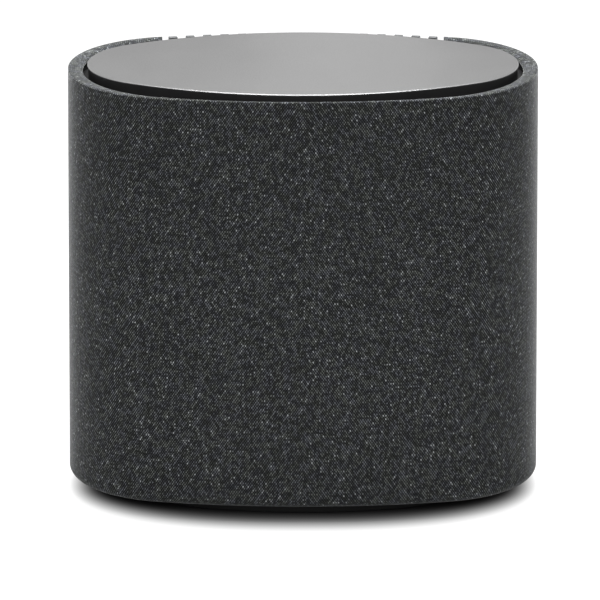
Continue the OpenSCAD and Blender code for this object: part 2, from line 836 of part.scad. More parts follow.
module radiator_frame(side) {
    color("black") on_end(side) difference() {
        washer(radiator_d / 2, radiator_hole_r, -flange_t, 0);
        radiator_screw_ring() flange_hole();
    }
}

module radiator_surround(side) {
    color("black") on_end(side) rotate_extrude()
        roll_section(radiator_hole_r - radiator_roll, radiator_roll, 0.8, radiator_lip, 0.6);
}

module radiator_plate(side) {
    r = radiator_hole_r - 2 * radiator_roll;
    back = -3;
    dish = -0.8;
    color("dimgray") on_end(side) rotate_extrude() polygon([
        [0, back - weight_t], [weight_r, back - weight_t], [weight_r, back], [r - 1, back],
        [r, back + 1], [r, 0], [r - 4, 0], [r - 6, dish], [0, dish]
    ]);
}

module left_radiator_frame() { radiator_frame(-1); }
module left_radiator_surround() { radiator_surround(-1); }
module left_radiator_plate() { radiator_plate(-1); }
module right_radiator_frame() { radiator_frame(1); }
module right_radiator_surround() { radiator_surround(1); }
module right_radiator_plate() { radiator_plate(1); }

// ---------------------------------------------------------------- electronics

// Boards, each [left, bottom, width, height]
MAIN = [-66, 138, 132, 84];
POWER = [-96, 24, 70, 100];
IO = [-24, 24, 80, 52];
standoff_r = 3.2;
tall = 9;               // how far the tallest parts stand out of a board
amplifier_t = 2;        // height of the amplifier chips that carry the heat sink

// The four screw places of a board, in from its corners
function board_corners(b) = [for (x = [b[0] + 5, b[0] + b[2] - 5], z = [b[1] + 5, b[1] + b[3] - 5]) [x, z]];

// Children at every board screw, with +Z backwards out of the cabinet
module board_spots() {
    for (p = concat(board_corners(MAIN), board_corners(POWER), board_corners(IO)))
        translate([p[0], cabinet_back, p[1]]) rotate([-90, 0, 0]) children();
}

module bare_board(b) {
    difference() {
        translate([b[0], board_y, b[1]]) cube([b[2], pcb_t, b[3]]);
        board_spots() cylinder(r = screw_r + screw_slack, h = far, center = true);
    }
}

// Component on the back of board b: left, bottom, width, height, how far it stands out
module chip(b, x, z, w, h, out) {
    translate([b[0] + x, pcb_y, b[1] + z]) cube([w, out, h]);
}

// Upright can on the back of board b: a capacitor of radius r
module can(b, x, z, r) {
    translate([b[0] + x, pcb_y, b[1] + z]) rotate([-90, 0, 0]) cylinder(r = r, h = tall);
}

module main_board() {
    color("darkgreen") bare_board(MAIN);
    color("black") {
        chip(MAIN, 54, 50, 20, 20, 1.4);
        chip(MAIN, 80, 52, 12, 16, 1.2);
        chip(MAIN, 32, 52, 14, 10, 1.2);
        for (i = [0 : 1]) chip(MAIN, 36 + i * 40, 12, 16, 16, amplifier_t);
        for (i = [0 : 5]) chip(MAIN, 11 + i * 20, 38, 6, 6, 4);
    }
}

// Shielded can near the board's upper right corner, with the window of its test pads
module wireless_module() {
    can_w = 24;
    can_h = 28;
    can_t = 3;
    edge = 8;
    window = [8, 0.4, 6];
    corner = [MAIN[0] + MAIN[2] - edge - can_w, pcb_y, MAIN[1] + MAIN[3] - edge - can_h];
    color("silver") translate(corner) difference() {
        cube([can_w, can_t, can_h]);
        translate([can_w - window[0] - 5, can_t - window[1], can_h - window[2] - 3])
            cube(window + [0, overcut, 0]);
    }
}

// Two bent strips on the cabinet's back, left and right of the main board's top
module antennas() {
    strip = [24, 1, 14];
    foot_out = 3;
    foot_t = 2;
    color("goldenrod") for (s = [-1, 1])
        translate([s * (MAIN[2] / 2 + 18) - strip[0] / 2, cabinet_back, cabinet_top - 26.3]) {
            cube(strip);
            cube([strip[0], foot_out, foot_t]);
        }
}

module amplifier_heat_sink() {
    fins = 9;
    fin_t = 1.6;
    sink_w = 64;
    sink_h = 28;
    plate = 2.5;
    step = (sink_w - fin_t) / (fins - 1);
    color("silver") translate([-sink_w / 2 - 2, pcb_y + amplifier_t, MAIN[1] + 6]) {
        cube([sink_w, plate, sink_h]);
        for (i = [0 : fins - 1]) translate([i * step, 0, 0]) cube([fin_t, tall - amplifier_t, sink_h]);
    }
}

// Transformer, main capacitor, three smaller ones and a bridge rectifier
module power_board() {
    color("darkgreen") bare_board(POWER);
    color("gold") chip(POWER, 8, 68, 26, 22, tall);
    color("black") {
        for (i = [0 : 2]) can(POWER, 46 + i * 8, 80, 3.6);
        can(POWER, 20, 50, 9);
        chip(POWER, 36, 56, 20, 5, tall);
    }
}

// Board behind the right half of the connector plate, with the two switches that the buttons press
module io_board() {
    color("darkgreen") bare_board(IO);
    body = [switch_w, switch_t - plunger_t, switch_w];
    color("black") for (x = [power_x, pairing_x]) {
        translate([x - switch_w / 2, pcb_y, bay_z - switch_w / 2]) cube(body);
        translate([x, pcb_y, bay_z]) rotate([-90, 0, 0]) cylinder(r = plunger_r, h = switch_t);
    }
}

// ---------------------------------------------------------------- connectors and buttons

inlet_x = -38;
network_x = -12;
usb_x = 8;
audio_x = 22;
power_x = 33;
pairing_x = 45;
switch_t = 4.3;         // height of a switch with its plunger
switch_w = 6;
plunger_t = 0.8;
plunger_r = 1.7;
inlet_flange = [26, 18];
inlet_body = [22, 14];
network_body = [16, 13.6];
usb_body = [14.4, 7.2];
audio_r = 4;
audio_bore_r = 1.8;
button_proud = 1.2;
socket_proud = 0.6;

// Rounded slot of two circles, as wide as w and as tall as h
module slot(w, h) {
    for (s = [-1, 1]) translate([s * (w - h) / 2, 0]) circle(d = h);
    square([w - h, h], center = true);
}

// Children drawn flat with their Z axis backwards out of the connector plate's rear face, at x
module on_connector(x) {
    translate([x, connector_y, bay_z]) rotate([-90, 0, 0]) children();
}

module connector_plate() {
    seat = 0.2;
    color("black") difference() {
        translate([-bay_w / 2 + seat, connector_y - connector_t, bay_z - bay_h / 2 + seat])
            cube([bay_w - 2 * seat, connector_t, bay_h - 2 * seat]);
        for (c = [[inlet_x, inlet_body], [network_x, network_body], [usb_x, usb_body]])
            on_connector(c[0]) cube([c[1][0] + seat, c[1][1] + seat, 4 * connector_t], center = true);
        on_connector(audio_x) cylinder(r = audio_r + seat / 2, h = 4 * connector_t, center = true);
        on_connector(power_x) cylinder(d = power_d + 2 * button_gap, h = 4 * connector_t, center = true);
        on_connector(pairing_x) cylinder(d = pairing_d + 2 * button_gap, h = 4 * connector_t, center = true);
    }
}

module mains_inlet() {
    cavity = [16.2, 8.6];
    flange = 2;
    deep = 11;
    back = connector_y - pcb_y;
    color("black") on_connector(inlet_x) difference() {
        union() {
            linear_extrude(flange) square(inlet_flange, center = true);
            translate([0, 0, -back]) linear_extrude(back + flange) square(inlet_body, center = true);
        }
        translate([0, 0, flange - deep]) linear_extrude(deep + overcut) slot(cavity[0], cavity[1]);
    }
    color("silver") on_connector(inlet_x) for (s = [-1, 1])
        translate([s * 4.3, 0, flange - deep - overcut]) cylinder(d = 2.4, h = deep - 1);
}

module network_jack() {
    back = connector_y - pcb_y;
    color("silver") on_connector(network_x) difference() {
        translate([0, 0, -back]) linear_extrude(back + socket_proud) square(network_body, center = true);
        translate([0, 0, -12]) linear_extrude(12 + 2 * overcut) {
            translate([0, -0.6]) square([11.8, 8.6], center = true);
            translate([0, 4.2]) square([6.4, 2], center = true);
        }
    }
}

module usb_socket() {
    back = connector_y - pcb_y;
    color("silver") on_connector(usb_x) {
        difference() {
            translate([0, 0, -back]) linear_extrude(back + socket_proud) square(usb_body, center = true);
            translate([0, 0, -10]) linear_extrude(10 + 2 * overcut) square([12.6, 5.2], center = true);
        }
        translate([0, 1.2, -5.5]) cube([11.4, 1.9, 9.4], center = true);
    }
}

module audio_jack() {
    back = connector_y - pcb_y;
    color("black") on_connector(audio_x) difference() {
        translate([0, 0, -back]) cylinder(r = audio_r, h = back + socket_proud);
        translate([0, 0, -14]) cylinder(r = audio_bore_r, h = 14 + 2 * overcut);
    }
}

// Push button: cap through the plate, collar behind it, stem towards its switch
module button(x, d) {
    collar = 1.2;
    stem_gap = button_travel + 0.2;
    reach = connector_y - connector_t - pcb_y - switch_t - stem_gap;
    color("dimgray") on_connector(x) rotate_extrude() polygon([
        [0, -connector_t - reach], [1.6, -connector_t - reach], [1.6, -connector_t - collar],
        [d / 2 + 1.2, -connector_t - collar], [d / 2 + 1.2, -connector_t], [d / 2, -connector_t],
        [d / 2, button_proud - 0.4], [d / 2 - 0.4, button_proud], [d / 2 - 1.6, button_proud],
        [0, button_proud - 0.4]
    ]);
}

module power_button() { button(power_x, power_d); }
module pairing_button() { button(pairing_x, pairing_d); }

// ---------------------------------------------------------------- fasteners

// Pan-head screw with its head's underside at z = 0 and its shank downwards
module screw(length) {
    difference() {
        union() {
            rotate_extrude($fn = 24) polygon([
                [0, -length], [screw_r, -length], [screw_r, 0], [head_r, 0], [head_r, head_t * 0.6],
                [head_r * 0.7, head_t], [0, head_t]
            ]);
        }
        for (a = [0, 90]) rotate([0, 0, a]) translate([0, 0, head_t]) cube([0.7, 3.2, 1.6], center = true);
    }
}

module driver_screws() {
    color("silver") {
        on_baffle(0, woofer_z) woofer_screw_ring() screw(baffle_t - 1);
        for (x = [-tweeter_x, tweeter_x]) on_baffle(x, tweeter_z) tweeter_screw_ring() screw(baffle_t - 1);
    }
}

module radiator_screws() {
    color("silver") for (side = [-1, 1]) on_end(side) radiator_screw_ring() screw(cabinet_t - 0.5);
}

// Children at the four screws that hold foot, base and cabinet together, with +Z up
module base_screw_spots() {
    for (x = [-1, 1], y = [-1, 1]) translate([x * 60, y * 30, 0]) children();
}

module base_screws() {
    color("silver") base_screw_spots() translate([0, 0, pad_proud + screw_pocket]) mirror([0, 0, 1])
        screw(cabinet_bottom + screw_bite - pad_proud - screw_pocket);
}

// The rear panel's screws stand square to its wall in the outermost gaps between two ribs
function panel_screw_turn() = (rib_spread() - rib_step()) / 2;
function panel_screw_x() = (face_r - rib_d) * sin(panel_screw_turn());
screw_length = panel_t + screw_bite;

// Children at the rear panel's screws, with +Z backwards out of its wall
module panel_screw_spots() {
    heights = [(cabinet_bottom + base_top) / 2, (cap_bottom + cabinet_top) / 2];
    for (s = [-1, 1], z = heights)
        translate([0, -face_y(BODY), z]) rotate([0, 0, 90 + s * panel_screw_turn()])
            translate([face_r - rib_d, 0, 0]) rotate([0, 90, 0]) children();
}

module panel_screws() {
    color("silver") panel_screw_spots() screw(screw_length);
}

module board_screws() {
    color("silver") board_spots() translate([0, 0, standoff_h + pcb_t]) screw(standoff_h);
}

top_plate();
plate_skirt();
touch_board();
top_cap();
fabric_cover();
grille_frame();
rear_panel();
base_plate();
foot();
foot_pad();
cabinet();
front_baffle();
damping_pad();
woofer_basket();
woofer_gasket();
woofer_front_plate();
woofer_magnet();
woofer_yoke();
woofer_spider();
woofer_coil();
woofer_cone();
woofer_dust_cap();
woofer_surround();
left_tweeter_frame();
left_tweeter_surround();
left_tweeter_dome();
left_tweeter_motor();
right_tweeter_frame();
right_tweeter_surround();
right_tweeter_dome();
right_tweeter_motor();
left_radiator_frame();
left_radiator_surround();
left_radiator_plate();
right_radiator_frame();
right_radiator_surround();
right_radiator_plate();
main_board();
wireless_module();
antennas();
amplifier_heat_sink();
power_board();
connector_plate();
io_board();
mains_inlet();
network_jack();
usb_socket();
audio_jack();
power_button();
pairing_button();
driver_screws();
radiator_screws();
base_screws();
panel_screws();
board_screws();
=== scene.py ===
"""Looks of a fabric-wrapped smart home hub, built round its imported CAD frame.

Lengths are in metres, +Z is up and the hub's front looks along -Y. The fabric sleeve is modelled here as a
sheet that is stretched over the frame. The rigid pieces keep their CAD shapes and get their finishes here.
"""

import functools
import logging
import math
from dataclasses import dataclass, field, replace
from enum import Enum
from typing import Protocol

import bpy
import numpy as np
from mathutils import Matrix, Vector


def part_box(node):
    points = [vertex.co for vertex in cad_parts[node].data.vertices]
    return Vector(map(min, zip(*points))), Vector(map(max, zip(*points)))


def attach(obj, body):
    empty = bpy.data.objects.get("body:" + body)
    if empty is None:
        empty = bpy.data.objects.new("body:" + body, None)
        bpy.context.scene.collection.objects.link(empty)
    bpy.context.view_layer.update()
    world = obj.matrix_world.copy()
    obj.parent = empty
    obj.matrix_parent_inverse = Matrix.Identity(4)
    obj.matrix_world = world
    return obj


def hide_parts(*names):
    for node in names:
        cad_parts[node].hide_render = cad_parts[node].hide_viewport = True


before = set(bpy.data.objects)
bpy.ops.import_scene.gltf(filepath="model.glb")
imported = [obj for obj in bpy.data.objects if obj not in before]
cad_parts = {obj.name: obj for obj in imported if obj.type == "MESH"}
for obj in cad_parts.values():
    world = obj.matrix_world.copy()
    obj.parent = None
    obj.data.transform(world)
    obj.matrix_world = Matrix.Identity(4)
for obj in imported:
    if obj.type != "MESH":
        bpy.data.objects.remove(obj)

log = logging.getLogger("hub")

Triple = tuple[float, float, float]
Pair = tuple[float, float]
Colour = Triple
Paint = Colour | bpy.types.NodeSocket
MM = 0.001
HOUSING = "housing"


# ---------------------------------------------------------------- shader maths


class Value:
    """A number worked out by a material's nodes, which takes Python's own operators."""

    def __init__(self, tree: "Tree", socket: bpy.types.NodeSocket) -> None:
        """Wraps a node's output.

        Args:
            tree: The tree that the node is in.
            socket: The output that carries the number.
        """
        self.tree = tree
        self.socket = socket

    def __add__(self, other: "Number") -> "Value":
        """This plus other."""
        return self.tree.math("ADD", self, other)

    __radd__ = __add__

    def __mul__(self, other: "Number") -> "Value":
        """This times other."""
        return self.tree.math("MULTIPLY", self, other)

    __rmul__ = __mul__

    def __sub__(self, other: "Number") -> "Value":
        """This less other."""
        return self.tree.math("SUBTRACT", self, other)

    def __rsub__(self, other: "Number") -> "Value":
        """Other less this."""
        return self.tree.math("SUBTRACT", other, self)

    def __truediv__(self, other: "Number") -> "Value":
        """This over other."""
        return self.tree.math("DIVIDE", self, other)

    def __rtruediv__(self, other: "Number") -> "Value":
        """Other over this."""
        return self.tree.math("DIVIDE", other, self)

    def __pow__(self, other: "Number") -> "Value":
        """This to the power of other."""
        return self.tree.math("POWER", self, other)

    def __rpow__(self, other: "Number") -> "Value":
        """Other to the power of this."""
        return self.tree.math("POWER", other, self)

    def __gt__(self, other: "Number") -> "Value":
        """1 where this is greater than other, and 0 elsewhere."""
        return self.tree.math("GREATER_THAN", self, other)

    def __lt__(self, other: "Number") -> "Value":
        """1 where this is less than other, and 0 elsewhere."""
        return self.tree.math("LESS_THAN", self, other)

    def __abs__(self) -> "Value":
        """This without its sign."""
        return self.tree.math("ABSOLUTE", self)

    def floor(self) -> "Value":
        """The whole number below this."""
        return self.tree.math("FLOOR", self)

    def fraction(self) -> "Value":
        """What this has over the whole number below it."""
        return self.tree.math("FRACT", self)

    def sine(self) -> "Value":
        """The sine of this, in radians."""
        return self.tree.math("SINE", self)

    def at_least(self, other: "Number") -> "Value":
        """The greater of this and other."""
        return self.tree.math("MAXIMUM", self, other)

    def wander(self, spread: float) -> "Value":
        """1, give or take half the spread, as this goes from 0 to 1."""
        return 1 + spread * (self - 0.5)

    def step(self, low: float, high: float) -> "Value":
        """A smooth step from 0 at low to 1 at high.

        Args:
            low: Where the step starts.
            high: Where the step ends.

        Returns:
            The step's height.
        """
        inputs = {"Value": self, "From Min": low, "From Max": high}
        made = self.tree.node("ShaderNodeMapRange", {"interpolation_type": "SMOOTHSTEP"}, inputs)
        return Value(self.tree, made.outputs[0])


Number = Value | float


class Tree:
    """The node tree of a material or a world, with short calls for the nodes that they use."""

    def __init__(self, owner: bpy.types.Material | bpy.types.World) -> None:
        """Empties the owner's tree.

        Args:
            owner: The material or the world that the tree belongs to.
        """
        owner.use_nodes = True
        self.owner = owner
        self.nodes = owner.node_tree.nodes
        self.links = owner.node_tree.links
        self.nodes.clear()

    @classmethod
    def of_material(cls, name: str) -> "Tree":
        """The empty tree of a new material."""
        return cls(bpy.data.materials.new(name))

    def end(self, shader: bpy.types.Node) -> bpy.types.Material | bpy.types.World:
        """Joins the last shader to the tree's output.

        Args:
            shader: The shader's node.

        Returns:
            The material or the world.
        """
        kind = "World" if isinstance(self.owner, bpy.types.World) else "Material"
        self.node(f"ShaderNodeOutput{kind}", inputs={"Surface": shader.outputs[0]})
        return self.owner

    def node(self, kind: str, settings: dict | None = None, inputs: dict | None = None) -> bpy.types.Node:
        """Adds a node.

        Args:
            kind: Blender's name of the node's type.
            settings: The node's own settings, set first; "stops" fills a colour ramp.
            inputs: What goes into the sockets, by name or number: a value, a Value or an output socket.

        Returns:
            The new node.
        """
        made = self.nodes.new(kind)
        for name, value in (settings or {}).items():
            if name == "stops":
                self._fill_ramp(made.color_ramp, value)
            else:
                setattr(made, name, value)
        for name, value in (inputs or {}).items():
            source = value.socket if isinstance(value, Value) else value
            if isinstance(source, bpy.types.NodeSocket):
                self.links.new(source, made.inputs[name])
            else:
                made.inputs[name].default_value = source
        return made

    @staticmethod
    def _fill_ramp(ramp: bpy.types.ColorRamp, stops: list[tuple[float, Colour]]) -> None:
        """Sets a colour ramp's stops.

        Args:
            ramp: The ramp.
            stops: Each stop's place and colour, in order.
        """
        while len(ramp.elements) < len(stops):
            ramp.elements.new(0.5)
        for element, (place, colour) in zip(ramp.elements, stops):
            element.position = place
            element.color = (*colour, 1)

    def math(self, operation: str, *terms: Number) -> Value:
        """Adds a Math node on its terms."""
        made = self.node("ShaderNodeMath", {"operation": operation}, dict(enumerate(terms)))
        return Value(self, made.outputs[0])

    def place(self) -> tuple[Value, Value, Value]:
        """The point's place on the object, in metres."""
        place = self.node("ShaderNodeTexCoord").outputs["Object"]
        split = self.node("ShaderNodeSeparateXYZ", inputs={0: place})
        return tuple(Value(self, o) for o in split.outputs)

    def vector(self, x: Number, y: Number) -> bpy.types.NodeSocket:
        """A level vector of two numbers."""
        return self.node("ShaderNodeCombineXYZ", inputs={0: x, 1: y}).outputs[0]

    def random(self, x: Number, y: Number) -> Value:
        """A random number from 0 to 1 for each pair of whole numbers."""
        made = self.node("ShaderNodeTexWhiteNoise", {"noise_dimensions": "2D"}, {"Vector": self.vector(x, y)})
        return Value(self, made.outputs["Value"])

    def rays(self, *kinds: str) -> Value:
        """1 where the ray is of one of the kinds, and 0 elsewhere."""
        path = self.node("ShaderNodeLightPath")
        found = [Value(self, path.outputs[f"Is {kind} Ray"]) for kind in kinds]
        return functools.reduce(Value.at_least, found)

    def noise(
        self,
        size: float,
        detail: float = 2.0,
        stretch: Triple = (1, 1, 1),
        where: bpy.types.NodeSocket | None = None,
    ) -> Value:
        """Soft noise from 0 to 1.

        Args:
            size: Size of its patches, in metres.
            detail: How many finer layers it has.
            stretch: How many times longer the patches are along each axis.
            where: Vector socket that places it, or None for the place on the object.

        Returns:
            The noise.
        """
        where = where or self.node("ShaderNodeTexCoord").outputs["Object"]
        scale = tuple(1 / (size * s) for s in stretch)
        scaled = self.node("ShaderNodeVectorMath", {"operation": "MULTIPLY"}, {0: where, 1: scale})
        inputs = {"Vector": scaled.outputs[0], "Scale": 1, "Detail": detail}
        return Value(self, self.node("ShaderNodeTexNoise", inputs=inputs).outputs[0])

    def mix(self, factor: Number, first: Paint, second: Paint, blend: str = "MIX") -> bpy.types.NodeSocket:
        """A colour between two colours.

        Args:
            factor: 0 for the first and 1 for the second.
            first: Colour or colour socket.
            second: Colour or colour socket.
            blend: Blender's name of the way they blend.

        Returns:
            The mixed colour's socket.
        """
        settings = {"data_type": "RGBA", "blend_type": blend}
        inputs = {0: factor, 6: opaque(first), 7: opaque(second)}
        return self.node("ShaderNodeMix", settings, inputs).outputs[2]

    def tone(self, colour: Colour, factor: Value) -> bpy.types.NodeSocket:
        """The colour times a number."""
        inputs = {0: colour, "Scale": factor}
        return self.node("ShaderNodeVectorMath", {"operation": "SCALE"}, inputs).outputs[0]

    def round_edges(self, radius: float) -> bpy.types.NodeSocket:
        """The normal with every edge rounded off by a radius."""
        return self.node("ShaderNodeBevel", {"samples": 6}, {"Radius": radius}).outputs[0]

    def bump(
        self, height: Value, depth: float, normal: bpy.types.NodeSocket | None = None
    ) -> bpy.types.NodeSocket:
        """The normal of a relief.

        Args:
            height: The relief, from 0 to 1.
            depth: Its depth, in metres.
            normal: Normal socket that it lies on, or None.

        Returns:
            The normal's socket.
        """
        inputs = {"Height": height, "Distance": depth, "Strength": 1.0}
        if normal is not None:
            inputs["Normal"] = normal
        return self.node("ShaderNodeBump", inputs=inputs).outputs[0]

    def shade(self, **inputs: Number | Paint) -> bpy.types.Material:
        """Finishes the material with a Principled shader.

        Args:
            **inputs: Its sockets by name in lower case with underscores, each a value or a socket.

        Returns:
            The material.
        """
        named = {}
        for name, value in inputs.items():
            named[name.replace("_", " ").title().replace("Ior", "IOR")] = opaque(value)
        return self.end(self.node("ShaderNodeBsdfPrincipled", inputs=named))


def opaque(paint: Number | Paint) -> object:
    """A plain colour with its fourth number, and anything else as it is."""
    return (*paint, 1) if isinstance(paint, tuple) else paint


# ---------------------------------------------------------------- finishes


class Look(Protocol):
    """What every finish has.

    Attributes:
        name: Name of the material.
    """

    name: str

    def material(self) -> bpy.types.Material:
        """Makes the material."""


@dataclass(frozen=True)
class Grained:
    """A finish with a fine grain: the colour wanders a little and the surface has a shallow relief.

    Attributes:
        name: Name of the material.
        colour: Its mean colour.
        roughness: Its mean roughness.
        metallic: 1 on bare metal.
        grain: Size of a grain.
        relief: Depth of the grain.
        spread: Share by which the colour wanders.
        edge: Radius of the moulded or broken edges.
        specular: Strength of the reflection of a non-metal.
        cloud: How many times larger the broad patches are than a grain.
        polish: Difference in roughness between the broad patches.
    """

    name: str
    colour: Colour
    roughness: float
    metallic: float = 0.0
    grain: float = 0.4 * MM
    relief: float = 0.02 * MM
    spread: float = 0.15
    edge: float = 0.0
    specular: float = 0.5
    cloud: float = 25.0
    polish: float = 0.1

    def material(self) -> bpy.types.Material:
        """Makes the material."""
        tree = Tree.of_material(self.name)
        fine = tree.noise(self.grain, 3)
        broad = tree.noise(self.cloud * self.grain, 2)
        tone = fine.wander(self.spread) + broad.wander(self.spread) - 1
        normal = tree.round_edges(self.edge) if self.edge else None
        return tree.shade(
            base_color=tree.tone(self.colour, tone),
            metallic=self.metallic,
            roughness=self.roughness + self.polish * (broad - 0.5),
            specular_ior_level=self.specular,
            normal=tree.bump(fine, self.relief, normal),
        )


@dataclass(frozen=True)
class BeadBlasted:
    """Bead-blasted aluminium with a shinier cut chamfer whose brighter colour is a painted highlight, and an
    upright side whose near-black colour is painted shade.

    Attributes:
        name: Name of the material.
        colour: Colour of the blasted face.
        cut: Colour of the chamfer, brighter than the face: a painted highlight.
        side: Colour of the upright side, near black: painted shade.
        bead: Size of a blasted dimple.
        relief: Depth of a dimple.
        bead_spread: Share by which the colour wanders from dimple to dimple: random tone, made strong enough
            to paint the facets' glints.
        cloud: Size of the broad patches in the blasting.
        cloud_spread: Share by which the colour wanders from patch to patch.
        upright: Most that the normal of the upright side points up.
        level: Least that the normal of the blasted face points up; the chamfer's lies between the two.
    """

    name: str = "bead_blasted_aluminium"
    colour: Colour = (0.156, 0.156, 0.156)
    cut: Colour = (0.29, 0.29, 0.293)
    side: Colour = (0.02, 0.02, 0.021)
    bead: float = 0.6 * MM
    relief: float = 0.012 * MM
    bead_spread: float = 0.7
    cloud: float = 30 * MM
    cloud_spread: float = 0.08
    upright: float = 0.2
    level: float = 0.95

    def material(self) -> bpy.types.Material:
        """Makes the material."""
        tree = Tree.of_material(self.name)
        bead = tree.noise(self.bead, 2)
        cloud = tree.noise(self.cloud, 3)
        normal = tree.node("ShaderNodeNewGeometry").outputs["True Normal"]
        tilt = Value(tree, tree.node("ShaderNodeSeparateXYZ", inputs={0: normal}).outputs[2])
        # Painted shade: the upright side is picked by its tilt alone and coloured near black.
        upright = tilt < self.upright
        # Painted highlight: the chamfer gets a brighter colour on top of its lower roughness.
        chamfer = (tilt < self.level) * (1 - upright)
        # The colour wanders from dimple to dimple: random tone, made strong enough to paint the facets'
        # glints.
        tone = bead.wander(self.bead_spread) + cloud.wander(self.cloud_spread) - 1
        top = tree.mix(chamfer, tree.tone(self.colour, tone), self.cut)
        return tree.shade(
            base_color=tree.mix(upright, top, self.side),
            metallic=1 - upright,
            roughness=0.46 - 0.16 * chamfer + 0.06 * cloud,
            normal=tree.bump(bead, self.relief),
        )


@dataclass(frozen=True)
class Twill:
    """Heathered twill whose short floats stand in rows that climb to the middle of the front from both sides.

    Attributes:
        name: Name of the material.
        across: Distance from one float to the next, round the sleeve.
        upward: Distance from one float to the next, up the sleeve.
        gap: Colour between the floats: partly the weave's own dark gaps, partly painted shade in its hollows.
        yarn: Colour of a float's crown.
        slub: Colour of a pale slub.
        slub_share: Share of the runs of floats that are slubs.
        slub_run: Length of such a run, in half steps up the sleeve.
        slub_dim: Brightness of the dimmest float in a slub.
        run_shift: Most by which one column's runs start later than another's, in runs.
        saddle: Height of a ridge between two floats, as a share of its crown.
        taper: Power that narrows the crowns.
        dark: Tone of the darkest float.
        lift: How much brighter the brightest float is.
        run_lift: How much a whole run of floats may be brighter.
        streak: Size of the faint upright streaks.
        streak_spread: Share by which the tone wanders from streak to streak.
        fibre: Size of the pale and dark patches that mixed fibres make in a float.
        fibre_spread: Share by which the tone wanders from patch to patch.
        heather: Size of the cooler and warmer patches of mixed yarn.
        cool: Tint of the cooler patches.
        warm: Tint of the warmer patches.
        relief: Depth of the weave.
        other_half: Added to the rows on the right half, so that both halves draw other tones.
    """

    name: str = "heathered_twill"
    across: float = 1.53 * MM
    upward: float = 2.21 * MM
    gap: Colour = (0.003, 0.003, 0.0031)
    yarn: Colour = (0.168, 0.172, 0.175)
    slub: Colour = (0.54, 0.565, 0.575)
    slub_share: float = 0.05
    slub_run: float = 2.0
    slub_dim: float = 0.25
    run_shift: float = 9.0
    saddle: float = 0.3
    taper: float = 2.0
    dark: float = 0.24
    lift: float = 1.65
    run_lift: float = 0.2
    streak: float = 7 * MM
    streak_spread: float = 0.2
    fibre: float = 0.34 * MM
    fibre_spread: float = 0.3
    heather: float = 6 * MM
    cool: Colour = (0.97, 1.0, 1.09)
    warm: Colour = (1.0, 1.04, 0.96)
    relief: float = 0.12 * MM
    other_half: int = 500

    def material(self) -> bpy.types.Material:
        """Makes the material. Its UV map runs round the sleeve and up it, in metres."""
        tree = Tree.of_material(self.name)
        cloth = tree.node("ShaderNodeUVMap", {"uv_map": FabricSleeve.uv_name}).outputs[0]
        split = tree.node("ShaderNodeSeparateXYZ", inputs={0: cloth})
        around, up = (Value(tree, split.outputs[axis]) for axis in (0, 1))
        turn, climb = abs(around) / self.across, up / self.upward
        rise, fall = turn + climb, turn - climb
        ridge, dip = ((way.fraction() * math.pi).sine() for way in (rise, fall))
        crown = (ridge * (self.saddle + (1 - self.saddle) * dip)) ** self.taper

        line, cross = rise.floor() + self.other_half * (around > 0), fall.floor()
        column, row = line + cross, line - cross
        run = (row / self.slub_run + self.run_shift * tree.random(column, 3.0)).floor()
        chance = tree.random(line, cross)
        picked = tree.random(column + 0.5, run) > 1 - self.slub_share
        slub = picked * (self.slub_dim + (1 - self.slub_dim) * chance) * crown
        tone = self.dark + self.lift * chance ** 2 + self.run_lift * tree.random(column, run)
        streak = tree.noise(self.streak, 3, (1, 6, 1), cloth)
        fibre = tree.noise(self.fibre, 0, (1, 1.3, 1), cloth).step(0.32, 0.68)
        # The colour follows each float's crown down to the gap colour between floats: partly the weave's own
        # dark gaps, partly painted shade in its hollows.
        level = crown * tone * streak.wander(self.streak_spread) * fibre.wander(self.fibre_spread)
        heather = tree.noise(self.heather, 1, (1, 1, 1), cloth).step(0.35, 0.65)
        tint = tree.mix(heather, self.cool, self.warm)
        plain = tree.mix(1.0, tree.mix(level, self.gap, self.yarn), tint, "MULTIPLY")
        return tree.shade(
            base_color=tree.mix(slub, plain, self.slub),
            roughness=0.85,
            specular_ior_level=0.15,
            sheen_weight=0.5,
            sheen_roughness=0.33,
            sheen_tint=(0.76, 0.77, 0.775),
            normal=tree.bump(crown, self.relief),
        )


@dataclass(frozen=True)
class BoardFinish:
    """Circuit board: solder mask up to its face, and dark moulded components beyond it.

    Attributes:
        name: Name of the material.
        face: Y of the board's face; the default is past the hub, for a board without components.
        mask: Colour of the solder mask.
        component: Colour of the components.
        trace: Size of the copper traces.
        clear: How far past the face the components start.
    """

    name: str
    face: float = 1.0
    mask: Colour = (0.012, 0.09, 0.045)
    component: Colour = (0.02, 0.02, 0.021)
    trace: float = 2.5 * MM
    clear: float = 0.05 * MM

    def material(self) -> bpy.types.Material:
        """Makes the material."""
        tree = Tree.of_material(self.name)
        _, y, _ = tree.place()
        traces = tree.noise(self.trace, 0, (1, 1, 4)).step(0.45, 0.5)
        body = y > self.face + self.clear
        return tree.shade(
            base_color=tree.mix(body, tree.tone(self.mask, 0.8 + 0.5 * traces), self.component),
            roughness=0.35 + 0.25 * body,
            normal=tree.bump(traces, 0.03 * MM),
        )


